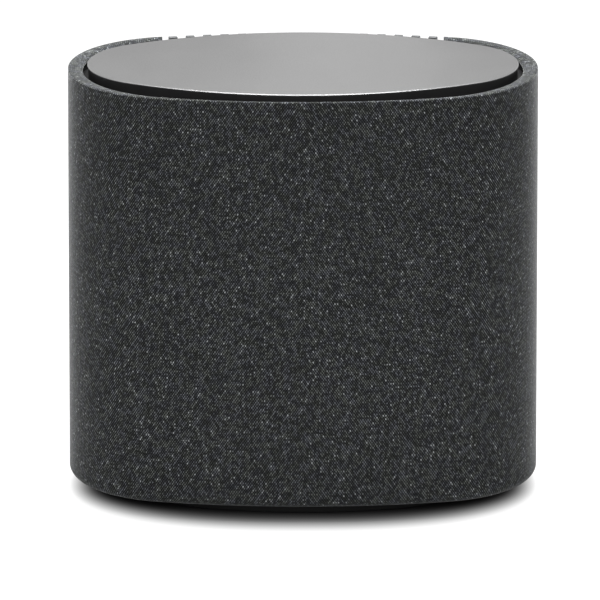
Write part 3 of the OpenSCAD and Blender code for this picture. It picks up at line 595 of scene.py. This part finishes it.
@dataclass(frozen=True)
class InletFinish:
    """Glossy moulded mains inlet with two nickel-plated pins.

    Attributes:
        name: Name of the material.
        pins: Place of each pin's axis, (x, z).
        pin_radius: Radius of a pin.
        plastic: Colour of the moulding.
        nickel: Colour of the pins.
    """

    name: str
    pins: tuple[Pair, ...]
    pin_radius: float = 1.25 * MM
    plastic: Colour = (0.014, 0.014, 0.015)
    nickel: Colour = (0.6, 0.59, 0.57)

    def material(self) -> bpy.types.Material:
        """Makes the material."""
        tree = Tree.of_material(self.name)
        x, _, z = tree.place()
        pin = 0.0
        for px, pz in self.pins:
            pin = (((x - px) ** 2 + (z - pz) ** 2) < self.pin_radius ** 2) + pin
        grain = tree.noise(0.3 * MM, 2)
        return tree.shade(
            base_color=tree.mix(pin, tree.tone(self.plastic, 0.8 + 0.4 * grain), self.nickel),
            metallic=pin,
            roughness=0.3 - 0.08 * pin + 0.06 * grain,
            normal=tree.bump(grain, 0.006 * MM, tree.round_edges(0.4 * MM)),
        )


class Finish(Enum):
    """The finishes that more than one piece may share."""

    PLATE = BeadBlasted()
    SLEEVE = Twill()
    BLACK = Grained("textured_black_plastic", (0.012, 0.012, 0.0125), 0.5, edge=0.3 * MM, specular=0.2)
    SATIN = Grained("satin_black_plastic", (0.034, 0.034, 0.0345), 0.35, edge=0.2 * MM, specular=0.35)
    RIBS = Grained("graphite_rib_plastic", (0.10, 0.103, 0.105), 0.55, edge=0.5 * MM, specular=0.35)
    RUBBER = Grained("matte_rubber", (0.014, 0.014, 0.014), 0.85, grain=0.8 * MM, specular=0.3)
    CABINET = Grained("moulded_cabinet", (0.02, 0.02, 0.02), 0.6)
    FIBREBOARD = Grained("fibreboard", (0.32, 0.22, 0.13), 0.8, grain=0.9 * MM, spread=0.35)
    WADDING = Grained("wadding", (0.7, 0.7, 0.66), 0.95, grain=2.5 * MM, relief=0.8 * MM, spread=0.2)
    CAST = Grained("powder_coated_metal", (0.045, 0.048, 0.05), 0.55, grain=0.6 * MM)
    STEEL = Grained("zinc_plated_steel", (0.52, 0.53, 0.54), 0.35, 1.0, 0.5 * MM, 0.008 * MM, edge=0.2 * MM)
    FERRITE = Grained("sintered_ferrite", (0.06, 0.06, 0.063), 0.7, grain=0.7 * MM, spread=0.3)
    COPPER = Grained("enamelled_copper", (0.5, 0.23, 0.1), 0.4, 1.0, 0.3 * MM)
    PAPER = Grained("coated_cone_paper", (0.03, 0.03, 0.032), 0.8, grain=1.2 * MM, relief=0.05 * MM)
    BUTYL = Grained("moulded_butyl", (0.018, 0.018, 0.018), 0.65)
    SPIDER = Grained(
        "resin_dipped_cotton", (0.45, 0.3, 0.1), 0.85, grain=0.9 * MM, relief=0.1 * MM, spread=0.3
    )
    DOME = Grained("anodised_dome", (0.62, 0.62, 0.64), 0.3, 1.0, 0.3 * MM)
    TIN = Grained("tinned_shield", (0.6, 0.6, 0.6), 0.3, 1.0, 0.5 * MM, 0.01 * MM, edge=0.2 * MM)
    NICKEL = Grained("nickel_shell", (0.55, 0.545, 0.53), 0.28, 1.0, 0.4 * MM, 0.006 * MM, edge=0.2 * MM)
    SOCKET = Grained(
        "moulded_socket", (0.014, 0.014, 0.015), 0.3, grain=0.3 * MM, relief=0.006 * MM, edge=0.3 * MM
    )
    BUTTON = Grained("satin_button_plastic", (0.11, 0.112, 0.115), 0.4, grain=0.3 * MM, edge=0.2 * MM)
    GOLD = Grained("gold_plated_contact", (0.75, 0.5, 0.18), 0.25, 1.0, 0.3 * MM, 0.004 * MM)


class Wardrobe:
    """Makes each finish's material once and puts it on pieces."""

    def __init__(self) -> None:
        """Starts with no material made."""
        self.made: dict[str, bpy.types.Material] = {}

    def dress(self, piece: bpy.types.Object, finish: Finish | Look) -> None:
        """Puts a finish on a piece.

        Args:
            piece: The object to dress.
            finish: A shared finish, or one that is made for the piece.
        """
        look = finish.value if isinstance(finish, Finish) else finish
        if look.name not in self.made:
            self.made[look.name] = look.material()
        piece.data.materials.clear()
        piece.data.materials.append(self.made[look.name])

    def dress_nodes(self, names: dict[Finish | Look, list[str]]) -> None:
        """Puts finishes on CAD nodes.

        Args:
            names: The names of the nodes that each finish goes on.
        """
        for finish, nodes in names.items():
            for node in nodes:
                self.dress(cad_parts[node], finish)


# ---------------------------------------------------------------- shapes


@dataclass(frozen=True)
class Oval:
    """An oval of four arcs with a short straight stretch at each end.

    Attributes:
        width: Width over the two ends.
        depth: Depth over the two long sides.
        side: Radius of the long sides.
        flat: Length of the straight stretches.
    """

    width: float
    depth: float
    side: float
    flat: float

    @property
    def corner(self) -> float:
        """Radius of the corner arcs, which run tangent into the long sides and the straight ends."""
        a, k = self.width / 2, self.side - self.depth / 2 + self.flat / 2
        return (self.side ** 2 - a * a - k * k) / (2 * (self.side - a))

    @property
    def corner_x(self) -> float:
        """X of the centres of the corner arcs."""
        return self.width / 2 - self.corner

    @property
    def side_centre(self) -> float:
        """Distance of the centre of a long side from the middle."""
        return self.side - self.depth / 2

    @property
    def turn(self) -> float:
        """Half the angle that a long side turns through."""
        return math.asin(self.corner_x / (self.side - self.corner))

    def open_path(self, inset: float, gap: float, steps: tuple[int, int, int, int]) -> np.ndarray:
        """Points round the oval from one edge of a gap in its back, round the front, to the gap's other edge.

        Args:
            inset: How far inside the oval the path runs.
            gap: Width of the gap in the back.
            steps: Steps of the stub beside the gap, a corner, a straight end and half the front.

        Returns:
            The points, from the right edge of the gap to the left one.
        """
        stub, corner, end, front = steps
        side, bend = self.side - inset, self.corner - inset
        start, turn, right_angle = math.asin(gap / 2 / side), self.turn, math.pi / 2
        half = [
            self._arc((0, -self.side_centre), side, start, turn, stub),
            self._arc((self.corner_x, self.flat / 2), bend, turn, right_angle, corner),
            self._line(inset, end),
            self._arc((self.corner_x, -self.flat / 2), bend, right_angle, math.pi - turn, corner),
            self._arc((0, self.side_centre), side, math.pi - turn, math.pi, front),
        ]
        right = np.vstack([half[0]] + [part[1:] for part in half[1:]])
        return np.vstack([right, right[-2::-1] * (-1, 1)])

    @staticmethod
    def _arc(centre: Pair, radius: float, start: float, stop: float, steps: int) -> np.ndarray:
        """Points on an arc, with angles taken clockwise from +Y."""
        a = np.linspace(start, stop, steps + 1)
        return np.array(centre) + radius * np.column_stack([np.sin(a), np.cos(a)])

    def _line(self, inset: float, steps: int) -> np.ndarray:
        """Points down the straight stretch at the right-hand end."""
        y = np.linspace(self.flat / 2, -self.flat / 2, steps + 1)
        return np.column_stack([np.full_like(y, self.width / 2 - inset), y])


def add_mesh(name: str, points: np.ndarray, faces: list[list[int]], smooth: bool = True) -> bpy.types.Object:
    """Makes a mesh object and links it into the scene.

    Args:
        name: Name of the object.
        points: Its vertices.
        faces: Its faces, as vertex numbers.
        smooth: Whether its faces are shaded smooth.

    Returns:
        The object.
    """
    mesh = bpy.data.meshes.new(name)
    mesh.from_pydata([tuple(map(float, p)) for p in points], [], faces)
    mesh.polygons.foreach_set("use_smooth", [smooth] * len(mesh.polygons))
    mesh.update()
    made = bpy.data.objects.new(name, mesh)
    bpy.context.scene.collection.objects.link(made)
    return made


# ---------------------------------------------------------------- sub-assemblies


@dataclass(frozen=True)
class SleeveRows:
    """Steps of the sleeve's rows in each stretch of its section.

    Attributes:
        tuck: The hem's flat part under the base.
        hem: The turn round the bottom edge.
        wall: The upright wall.
        fold: The fold over the top edge.
        rim: The inner face of the rim.
        lip: The rim's roll.
    """

    tuck: int = 3
    hem: int = 12
    wall: int = 25
    fold: int = 8
    rim: int = 3
    lip: int = 7


@dataclass
class FabricSleeve:
    """The twill sleeve: folded over the top edge, tucked under the base, open at the rear panel.

    Attributes:
        gap: Width of the rear panel between its ends.
        side_radius: Radius of the body's long sides.
        end_flat: Length of the body's straight ends.
        thickness: Thickness of the fabric.
        fold: Radius of the fold over the top edge.
        hem: Radius of the turn under the bottom edge.
        hem_width: Width tucked under the base.
        rim: Width of the rim on top at the ends and at the front.
        mouth_radius: Radius of the top opening's long sides.
        mouth_flat: Length of the top opening's straight ends.
        overhang: How far the rim reaches into the recess at the ends.
        lip: Greatest width of the rim's roll down into the recess.
        lip_drop: Drop of the roll where the rim doesn't overhang, as a share of the thickness.
        lip_edge: Thickness at the rolled edge.
        steps: Steps of the rear stub, a corner, an end and half the front.
        rows: Steps up the sleeve.
        body: Outline of the body.
        mouth: Outline of the opening on top.
        lipped: Outline of the rolled edge, inside the opening at the ends.
        bottom: Height of the lower edge.
        top: Height of the rim.
    """

    gap: float = 170 * MM
    side_radius: float = 405 * MM
    end_flat: float = 4 * MM
    thickness: float = 1.0 * MM
    fold: float = 1.1 * MM
    hem: float = 6.4 * MM
    hem_width: float = 9 * MM
    rim: Pair = (8 * MM, 2 * MM)
    mouth_radius: float = 295 * MM
    mouth_flat: float = 1 * MM
    overhang: float = 1.0 * MM
    lip: float = 4 * MM
    lip_drop: float = 0.95
    lip_edge: float = 0.3 * MM
    steps: tuple[int, int, int, int] = (4, 40, 3, 24)
    rows: SleeveRows = SleeveRows()
    body: Oval = field(init=False)
    mouth: Oval = field(init=False)
    lipped: Oval = field(init=False)
    bottom: float = field(init=False)
    top: float = field(init=False)

    uv_name = "cloth"

    def __post_init__(self) -> None:
        """Takes the body's size from the CAD node that the sleeve stands in for."""
        low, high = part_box("fabric_cover")
        self.bottom, self.top = low.z, high.z
        width, depth = high.x - low.x, 2 * -low.y
        self.body = Oval(width, depth, self.side_radius, self.end_flat)
        end, face = self.rim
        self.mouth = Oval(width - 2 * end, depth - 2 * face, self.mouth_radius, self.mouth_flat)
        self.lipped = replace(self.mouth, width=self.mouth.width - 2 * self.overhang)

    def build(self, wardrobe: Wardrobe) -> bpy.types.Object:
        """Args:
            wardrobe: Where its finish comes from.

        Returns:
            The sleeve.
        """
        outer, inner = self._rows(0.0), self._rows(self.thickness)
        rings = outer + inner[::-1]
        points, faces = self._skin(rings)
        sleeve = add_mesh("fabric_sleeve", points, faces)
        length, height, area = self._map_cloth(sleeve, rings, len(outer))
        wardrobe.dress(sleeve, Finish.SLEEVE)
        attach(sleeve, HOUSING)
        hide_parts("fabric_cover")
        return sleeve

    def _rows(self, depth: float) -> list[np.ndarray]:
        """The sleeve's rows of points, from the tucked hem up the side and in to the mouth.

        Args:
            depth: How far inside the fabric's outer face they run.

        Returns:
            The rows, each from the right edge of the rear panel round the front to its left edge.
        """
        tucked = np.linspace(self.hem_width, self.hem, self.rows.tuck + 1)[:-1]
        rows = [self._level(inset, self.bottom + depth) for inset in tucked]
        low, high = self.bottom + self.hem, self.top - self.fold
        for a in np.linspace(270, 180, self.rows.hem + 1):
            radius = self.hem - depth
            rows.append(self._level(self.hem + radius * cosd(a), low + radius * sind(a)))
        for height in np.linspace(low, high, self.rows.wall + 1)[1:-1]:
            rows.append(self._level(depth, height))
        for a in np.linspace(180, 90, self.rows.fold + 1):
            radius = self.fold - depth
            rows.append(self._level(self.fold + radius * cosd(a), high + radius * sind(a)))
        return rows + self._rim_rows(depth)

    def _level(self, inset: float, height: float) -> np.ndarray:
        """A level row of points, inset from the body's outline."""
        path = self.body.open_path(inset, self.gap, self.steps)
        return np.column_stack([path, np.full(len(path), height)])

    def _rim_rows(self, depth: float) -> list[np.ndarray]:
        """The rows on top, from the fold in to the mouth, where the outer face rolls down.

        Args:
            depth: How far inside the fabric's outer face they run.

        Returns:
            The rows.
        """
        start = self._level(self.fold, self.top - depth)
        edge = self.lipped.open_path(0.0, self.gap, self.steps)
        inward = np.column_stack([edge, np.full(len(edge), self.top - depth)]) - start
        mouth = self.mouth.open_path(0.0, self.gap, self.steps)
        width = np.linalg.norm(inward, axis=1)
        roll = np.minimum(self.lip, width)
        past_mouth = np.linalg.norm(edge - mouth, axis=1)
        drop = np.minimum(roll, self.lip_drop * self.thickness + past_mouth)
        if depth:
            level = np.column_stack([mouth, np.full(len(mouth), self.top - depth)]) - start
            rows = [start + level * share for share in np.linspace(0, 1, self.rows.rim + 1)[1:]]
            last = start + inward
            last[:, 2] = self.top - np.maximum(depth, drop + self.lip_edge)
            return rows + [(rows[-1] + last) / 2, last]
        rolled = (roll / width)[:, None]
        rows = [start + inward * (1 - rolled) * share for share in (0.35, 0.7, 1.0)]
        for a in np.linspace(90, 0, self.rows.lip + 1)[1:]:
            row = start + inward * (1 - rolled + rolled * cosd(a))
            row[:, 2] -= drop * (1 - sind(a))
            rows.append(row)
        return rows

    @staticmethod
    def _skin(rings: list[np.ndarray]) -> tuple[np.ndarray, list[list[int]]]:
        """Skins a loop of rings and closes its two ends.

        Args:
            rings: The rows of points, of one length.

        Returns:
            The points and the faces.
        """
        across, rows = len(rings[0]), len(rings)
        faces = []
        for j in range(rows):
            here, there = j * across, (j + 1) % rows * across
            faces += [[here + i, there + i, there + i + 1, here + i + 1] for i in range(across - 1)]
        half = rows // 2
        for i, order in ((0, 1), (across - 1, -1)):
            for j in range(half - 1):
                corner = [j, rows - 1 - j, rows - 2 - j, j + 1]
                faces.append([row * across + i for row in corner[::order]])
        return np.vstack(rings), faces

    def _map_cloth(self, sleeve: bpy.types.Object, rings: list[np.ndarray], outer: int) -> Triple:
        """Lays the UV map, in metres round the sleeve and up it, and works out the flat cut.

        Args:
            sleeve: The sleeve.
            rings: Its rows of points.
            outer: How many of them are on the outer face.

        Returns:
            The flat cut's length round the sleeve, its height and its area.
        """
        body = self.body.open_path(0.0, self.gap, self.steps)
        stretches = np.linalg.norm(np.diff(body, axis=0), axis=1)
        around = np.concatenate([[0], np.cumsum(stretches)])
        around -= around[-1] / 2
        up = np.zeros((len(rings), len(body)))
        up[1:] = np.cumsum(np.linalg.norm(np.diff(rings, axis=0), axis=2), axis=0)
        up[outer:] = up[outer - 1] - (up[outer:] - up[outer])
        area = 0.0
        for first, second in zip(rings[:outer - 1], rings[1:outer]):
            a, b, c, d = first[:-1], first[1:], second[1:], second[:-1]
            area += np.linalg.norm(np.cross(c - a, d - b), axis=1).sum() / 2
        length, height = float(around[-1] - around[0]), float(up[outer - 1].max())
        vertex = np.empty(len(sleeve.data.loops), np.int64)
        sleeve.data.loops.foreach_get("vertex_index", vertex)
        uv = np.column_stack([around[vertex % len(body)], up.ravel()[vertex]])
        sleeve.data.uv_layers.new(name=self.uv_name).data.foreach_set("uv", uv.ravel())
        return length, height, min(float(area), length * height)


def cosd(angle: float) -> float:
    """The cosine of an angle in degrees."""
    return math.cos(math.radians(angle))


def sind(angle: float) -> float:
    """The sine of an angle in degrees."""
    return math.sin(math.radians(angle))


@dataclass
class TopDeck:
    """The aluminium plate, the black skirt that carries it, and the cap under them."""

    def dress(self, wardrobe: Wardrobe) -> None:
        """Dresses the pieces.

        Args:
            wardrobe: Where their finishes come from.
        """
        wardrobe.dress_nodes({
            Finish.PLATE: ["top_plate"],
            Finish.SATIN: ["plate_skirt"],
            Finish.BLACK: ["top_cap"],
            BoardFinish("touch_solder_mask"): ["touch_board"],
        })


@dataclass
class RearPanel:
    """The ribbed panel with its connector bay, connectors and buttons.

    Attributes:
        pin_offset: Distance of each mains pin from the inlet's middle.
        contacts: Number of the network jack's contacts.
        contact_pitch: Distance between two contacts.
        contact_width: Width of a contact.
        contact_reach: Depth of a contact's back and front ends behind the jack's face.
        contact_heights: Heights of a contact's front end over the jack's middle, top and bottom.
        contact_slope: How much lower its back end is.
    """

    pin_offset: float = 4.3 * MM
    contacts: int = 8
    contact_pitch: float = 1.02 * MM
    contact_width: float = 0.45 * MM
    contact_reach: Pair = (11.5 * MM, 3 * MM)
    contact_heights: Pair = (4.6 * MM, 4.2 * MM)
    contact_slope: float = 1.6 * MM

    def dress(self, wardrobe: Wardrobe) -> None:
        """Dresses the panel and what stands in its bay.

        Args:
            wardrobe: Where their finishes come from.
        """
        low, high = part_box("mains_inlet")
        middle = (low + high) / 2
        pins = tuple((middle.x + s * self.pin_offset, middle.z) for s in (-1, 1))
        wardrobe.dress_nodes({
            Finish.RIBS: ["rear_panel"],
            Finish.BLACK: ["connector_plate"],
            InletFinish("moulded_inlet", pins): ["mains_inlet"],
            Finish.NICKEL: ["network_jack", "usb_socket"],
            Finish.SOCKET: ["audio_jack"],
            Finish.BUTTON: ["power_button", "pairing_button"],
            Finish.STEEL: ["panel_screws"],
        })

    def build_contacts(self, wardrobe: Wardrobe) -> bpy.types.Object:
        """Adds the network jack's gold contacts, which slope up towards its mouth.

        Args:
            wardrobe: Where their finish comes from.

        Returns:
            The contacts, as one piece.
        """
        low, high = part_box("network_jack")
        x0, z0 = (low.x + high.x) / 2, (low.z + high.z) / 2
        back, front = (high.y - reach for reach in self.contact_reach)
        over, under = (z0 + height for height in self.contact_heights)
        drop = self.contact_slope
        section = [(back, over - drop), (back, under - drop), (front, under), (front, over)]
        points, faces = [], []
        for i in range(self.contacts):
            x = x0 + (i - (self.contacts - 1) / 2) * self.contact_pitch
            start = len(points)
            for side in (-1, 1):
                points += [(x + side * self.contact_width / 2, y, z) for y, z in section]
            faces += [[start + j for j in (3, 2, 1, 0)], [start + 4 + j for j in (0, 1, 2, 3)]]
            for j in range(4):
                ahead = (j + 1) % 4
                faces.append([start + j, start + ahead, start + 4 + ahead, start + 4 + j])
        contacts = add_mesh("network_contacts", np.array(points), faces, smooth=False)
        wardrobe.dress(contacts, Finish.GOLD)
        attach(contacts, HOUSING)
        return contacts


@dataclass
class Base:
    """The base plate, the recessed foot and its rubber pad."""

    def dress(self, wardrobe: Wardrobe) -> None:
        """Dresses the pieces.

        Args:
            wardrobe: Where their finishes come from.
        """
        wardrobe.dress_nodes({
            Finish.BLACK: ["base_plate", "foot"],
            Finish.RUBBER: ["foot_pad"],
            Finish.STEEL: ["base_screws"],
        })


@dataclass
class Speaker:
    """The cabinet and its drivers."""

    def dress(self, wardrobe: Wardrobe) -> None:
        """Dresses the pieces.

        Args:
            wardrobe: Where their finishes come from.
        """
        plates, domes, motors = (
            [f"{side}_{piece}" for side in ("left", "right")]
            for piece in ("radiator_plate", "tweeter_dome", "tweeter_motor")
        )
        frames, surrounds = (
            [f"{side}_{kind}_{piece}" for side in ("left", "right") for kind in ("tweeter", "radiator")]
            for piece in ("frame", "surround")
        )
        wardrobe.dress_nodes({
            Finish.CABINET: ["grille_frame", "cabinet"],
            Finish.FIBREBOARD: ["front_baffle"],
            Finish.WADDING: ["damping_pad"],
            Finish.CAST: ["woofer_basket", *plates],
            Finish.RUBBER: ["woofer_gasket"],
            Finish.STEEL: ["woofer_front_plate", "woofer_yoke", *motors, "driver_screws", "radiator_screws"],
            Finish.FERRITE: ["woofer_magnet"],
            Finish.COPPER: ["woofer_coil"],
            Finish.SPIDER: ["woofer_spider"],
            Finish.PAPER: ["woofer_cone", "woofer_dust_cap"],
            Finish.BUTYL: ["woofer_surround", *surrounds],
            Finish.BLACK: frames,
            Finish.DOME: domes,
        })


@dataclass
class Electronics:
    """The boards and what is on them."""

    def dress(self, wardrobe: Wardrobe) -> None:
        """Dresses the pieces.

        Args:
            wardrobe: Where their finishes come from.
        """
        board = BoardFinish("solder_mask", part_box("wireless_module")[0].y)
        wardrobe.dress_nodes({
            board: ["main_board", "power_board", "io_board"],
            Finish.TIN: ["wireless_module"],
            Finish.COPPER: ["antennas"],
            Finish.DOME: ["amplifier_heat_sink"],
            Finish.STEEL: ["board_screws"],
        })


# ---------------------------------------------------------------- studio


@dataclass(frozen=True)
class Lamp:
    """A soft rectangular lamp.

    Attributes:
        name: Name of the lamp.
        place: Where it stands.
        size: Its width and height.
        power: Its power, in watts.
    """

    name: str
    place: Triple
    size: Pair
    power: float

    def build(self, target: Triple) -> None:
        """Makes the lamp, unseen by the camera.

        Args:
            target: Point that it looks at.
        """
        data = bpy.data.lights.new(self.name, "AREA")
        data.shape = "RECTANGLE"
        data.size, data.size_y = self.size
        data.energy = self.power
        lamp = bpy.data.objects.new(self.name, data)
        lamp.location = self.place
        lamp.rotation_euler = (Vector(self.place) - Vector(target)).to_track_quat("Z", "Y").to_euler()
        lamp.visible_camera = False
        bpy.context.scene.collection.objects.link(lamp)


@dataclass
class Studio:
    """Pale floor, soft lamps and the camera.

    Attributes:
        elevation: Camera's height above level, in degrees.
        distance: Camera's distance.
        lens: Camera's focal length, in millimetres.
        sensor: Width of the camera's sensor, in millimetres.
        aim: Point that the camera looks at.
        lamps: The lamps.
        lamp_target: Point that the lamps look at.
        ambient: Brightness of the room in diffuse light.
        floor_half: Half the floor's width.
        floor_colour: Colour of the floor.
        painted_shadow_colour: Colour of the floor as seen by the camera, darkened so that close to the hub it
            makes a painted shadow over the real one.
        painted_shadow_core: Half width and half depth of the painted shadow's dark core under the hub.
        painted_shadow_reach: Half width and half depth at which the painted shadow has faded and the floor is
            white.
        painted_shadow_bow: Power of both outlines of the painted shadow: 2 makes an ellipse, and more makes
            them squarer.
        painted_shadow_fall: Power that keeps the painted shadow dark near the hub.
    """

    elevation: float = 16.91
    distance: float = 8.27
    lens: float = 823.2
    sensor: float = 36.0
    aim: Triple = (-0.0018, 0.0, 0.1161)
    lamps: tuple[Lamp, ...] = (
        Lamp("top_softbox", (0.0, 0.1, 1.3), (0.7, 0.5), 31.0),
        Lamp("front_fill", (0.0, -2.6, 1.5), (1.6, 1.0), 14.0),
        Lamp("plate_strip", (0.025, 0.26, 0.345), (0.11, 0.08), 0.03),
    )
    lamp_target: Triple = (0.0, 0.0, 0.13)
    ambient: float = 0.28
    floor_half: float = 30.0
    floor_colour: Colour = (0.5, 0.5, 0.5)
    painted_shadow_colour: Colour = (0.12, 0.12, 0.12)
    painted_shadow_core: Pair = (117 * MM, 48.7 * MM)
    painted_shadow_reach: Pair = (143.5 * MM, 99.9 * MM)
    painted_shadow_bow: float = 2.4
    painted_shadow_fall: float = 2.9

    def build(self) -> None:
        """Makes the whole studio."""
        self._camera()
        self._world()
        self._floor()
        for lamp in self.lamps:
            lamp.build(self.lamp_target)
        bpy.context.scene.view_settings.view_transform = "Standard"

    def _camera(self) -> None:
        """Makes the camera."""
        data = bpy.data.cameras.new("camera")
        data.lens = self.lens
        data.sensor_width = self.sensor
        data.clip_end = 100.0
        camera = bpy.data.objects.new("camera", data)
        back = Vector((0, -cosd(self.elevation), sind(self.elevation)))
        camera.location = Vector(self.aim) + self.distance * back
        camera.rotation_euler = (math.radians(90 - self.elevation), 0, 0)
        bpy.context.scene.collection.objects.link(camera)
        bpy.context.scene.camera = camera

    def _world(self) -> None:
        """Makes the world: white where it is seen or mirrored, and dimmer as a light."""
        world = bpy.data.worlds.new("room")
        bpy.context.scene.world = world
        tree = Tree(world)
        seen = tree.rays("Camera", "Glossy", "Transmission")
        inputs = {"Color": opaque((1, 1, 1)), "Strength": self.ambient + (1 - self.ambient) * seen}
        tree.end(tree.node("ShaderNodeBackground", inputs=inputs))

    def _floor(self) -> None:
        """Makes the floor, which glows up to white away from the hub and shows a painted shadow beside it,
        over the real one.
        """
        half = self.floor_half
        corners = np.array([(-half, -half, 0), (half, -half, 0), (half, half, 0), (-half, half, 0)])
        floor = add_mesh("floor", corners, [[0, 1, 2, 3]], smooth=False)
        floor.data.materials.append(self._floor_material())

    def _floor_material(self) -> bpy.types.Material:
        """Makes the floor's material: pale as a reflector, and seen as a dark floor that glows to white
        beyond an oval round the hub, which paints the hub's shadow.
        """
        tree = Tree.of_material("floor")
        x, y, _ = tree.place()
        # Painted shadow: the camera sees the floor's glow by its distance from the hub, measured in fixed
        # ovals.
        core, reach = (self._oval_distance(x, y, size) for size in (self.painted_shadow_core, self.painted_shadow_reach))
        clear = ((core - 1) * reach / (core - reach)).at_least(0.0)
        pale = tree.node("ShaderNodeBsdfDiffuse", inputs={"Color": opaque(self.floor_colour)})
        # The camera sees this dark copy of the floor, so the real shadow shows only dimly under the painted
        # one.
        shade = tree.node("ShaderNodeBsdfDiffuse", inputs={"Color": opaque(self.painted_shadow_colour)})
        # Painted shadow: the camera-seen glow fades out towards the hub in a fixed oval.
        white = tree.node("ShaderNodeEmission", inputs={"Strength": clear.step(0.0, 1.0) ** self.painted_shadow_fall})
        shown = tree.node("ShaderNodeAddShader", inputs={0: shade.outputs[0], 1: white.outputs[0]})
        both = {0: tree.rays("Camera", "Glossy"), 1: pale.outputs[0], 2: shown.outputs[0]}
        return tree.end(tree.node("ShaderNodeMixShader", inputs=both))

    def _oval_distance(self, x: Value, y: Value, size: Pair) -> Value:
        """Distance from the middle, as a share of an oval's radius there."""
        bow = self.painted_shadow_bow
        return (abs(x / size[0]) ** bow + abs(y / size[1]) ** bow) ** (1 / bow)


def main() -> None:
    """Builds the studio and the hub's looks."""
    logging.basicConfig(level=logging.INFO, format="%(message)s")
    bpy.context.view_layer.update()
    Studio().build()
    log.info("studio ready")
    wardrobe = Wardrobe()
    sleeve = FabricSleeve().build(wardrobe)
    log.info("%s: %d faces", sleeve.name, len(sleeve.data.polygons))
    rear = RearPanel()
    for part in (TopDeck(), rear, Base(), Speaker(), Electronics()):
        part.dress(wardrobe)
        log.info("%s dressed", type(part).__name__)
    contacts = rear.build_contacts(wardrobe)
    log.info("%s: %d faces", contacts.name, len(contacts.data.polygons))


if __name__ == "__main__":
    main()
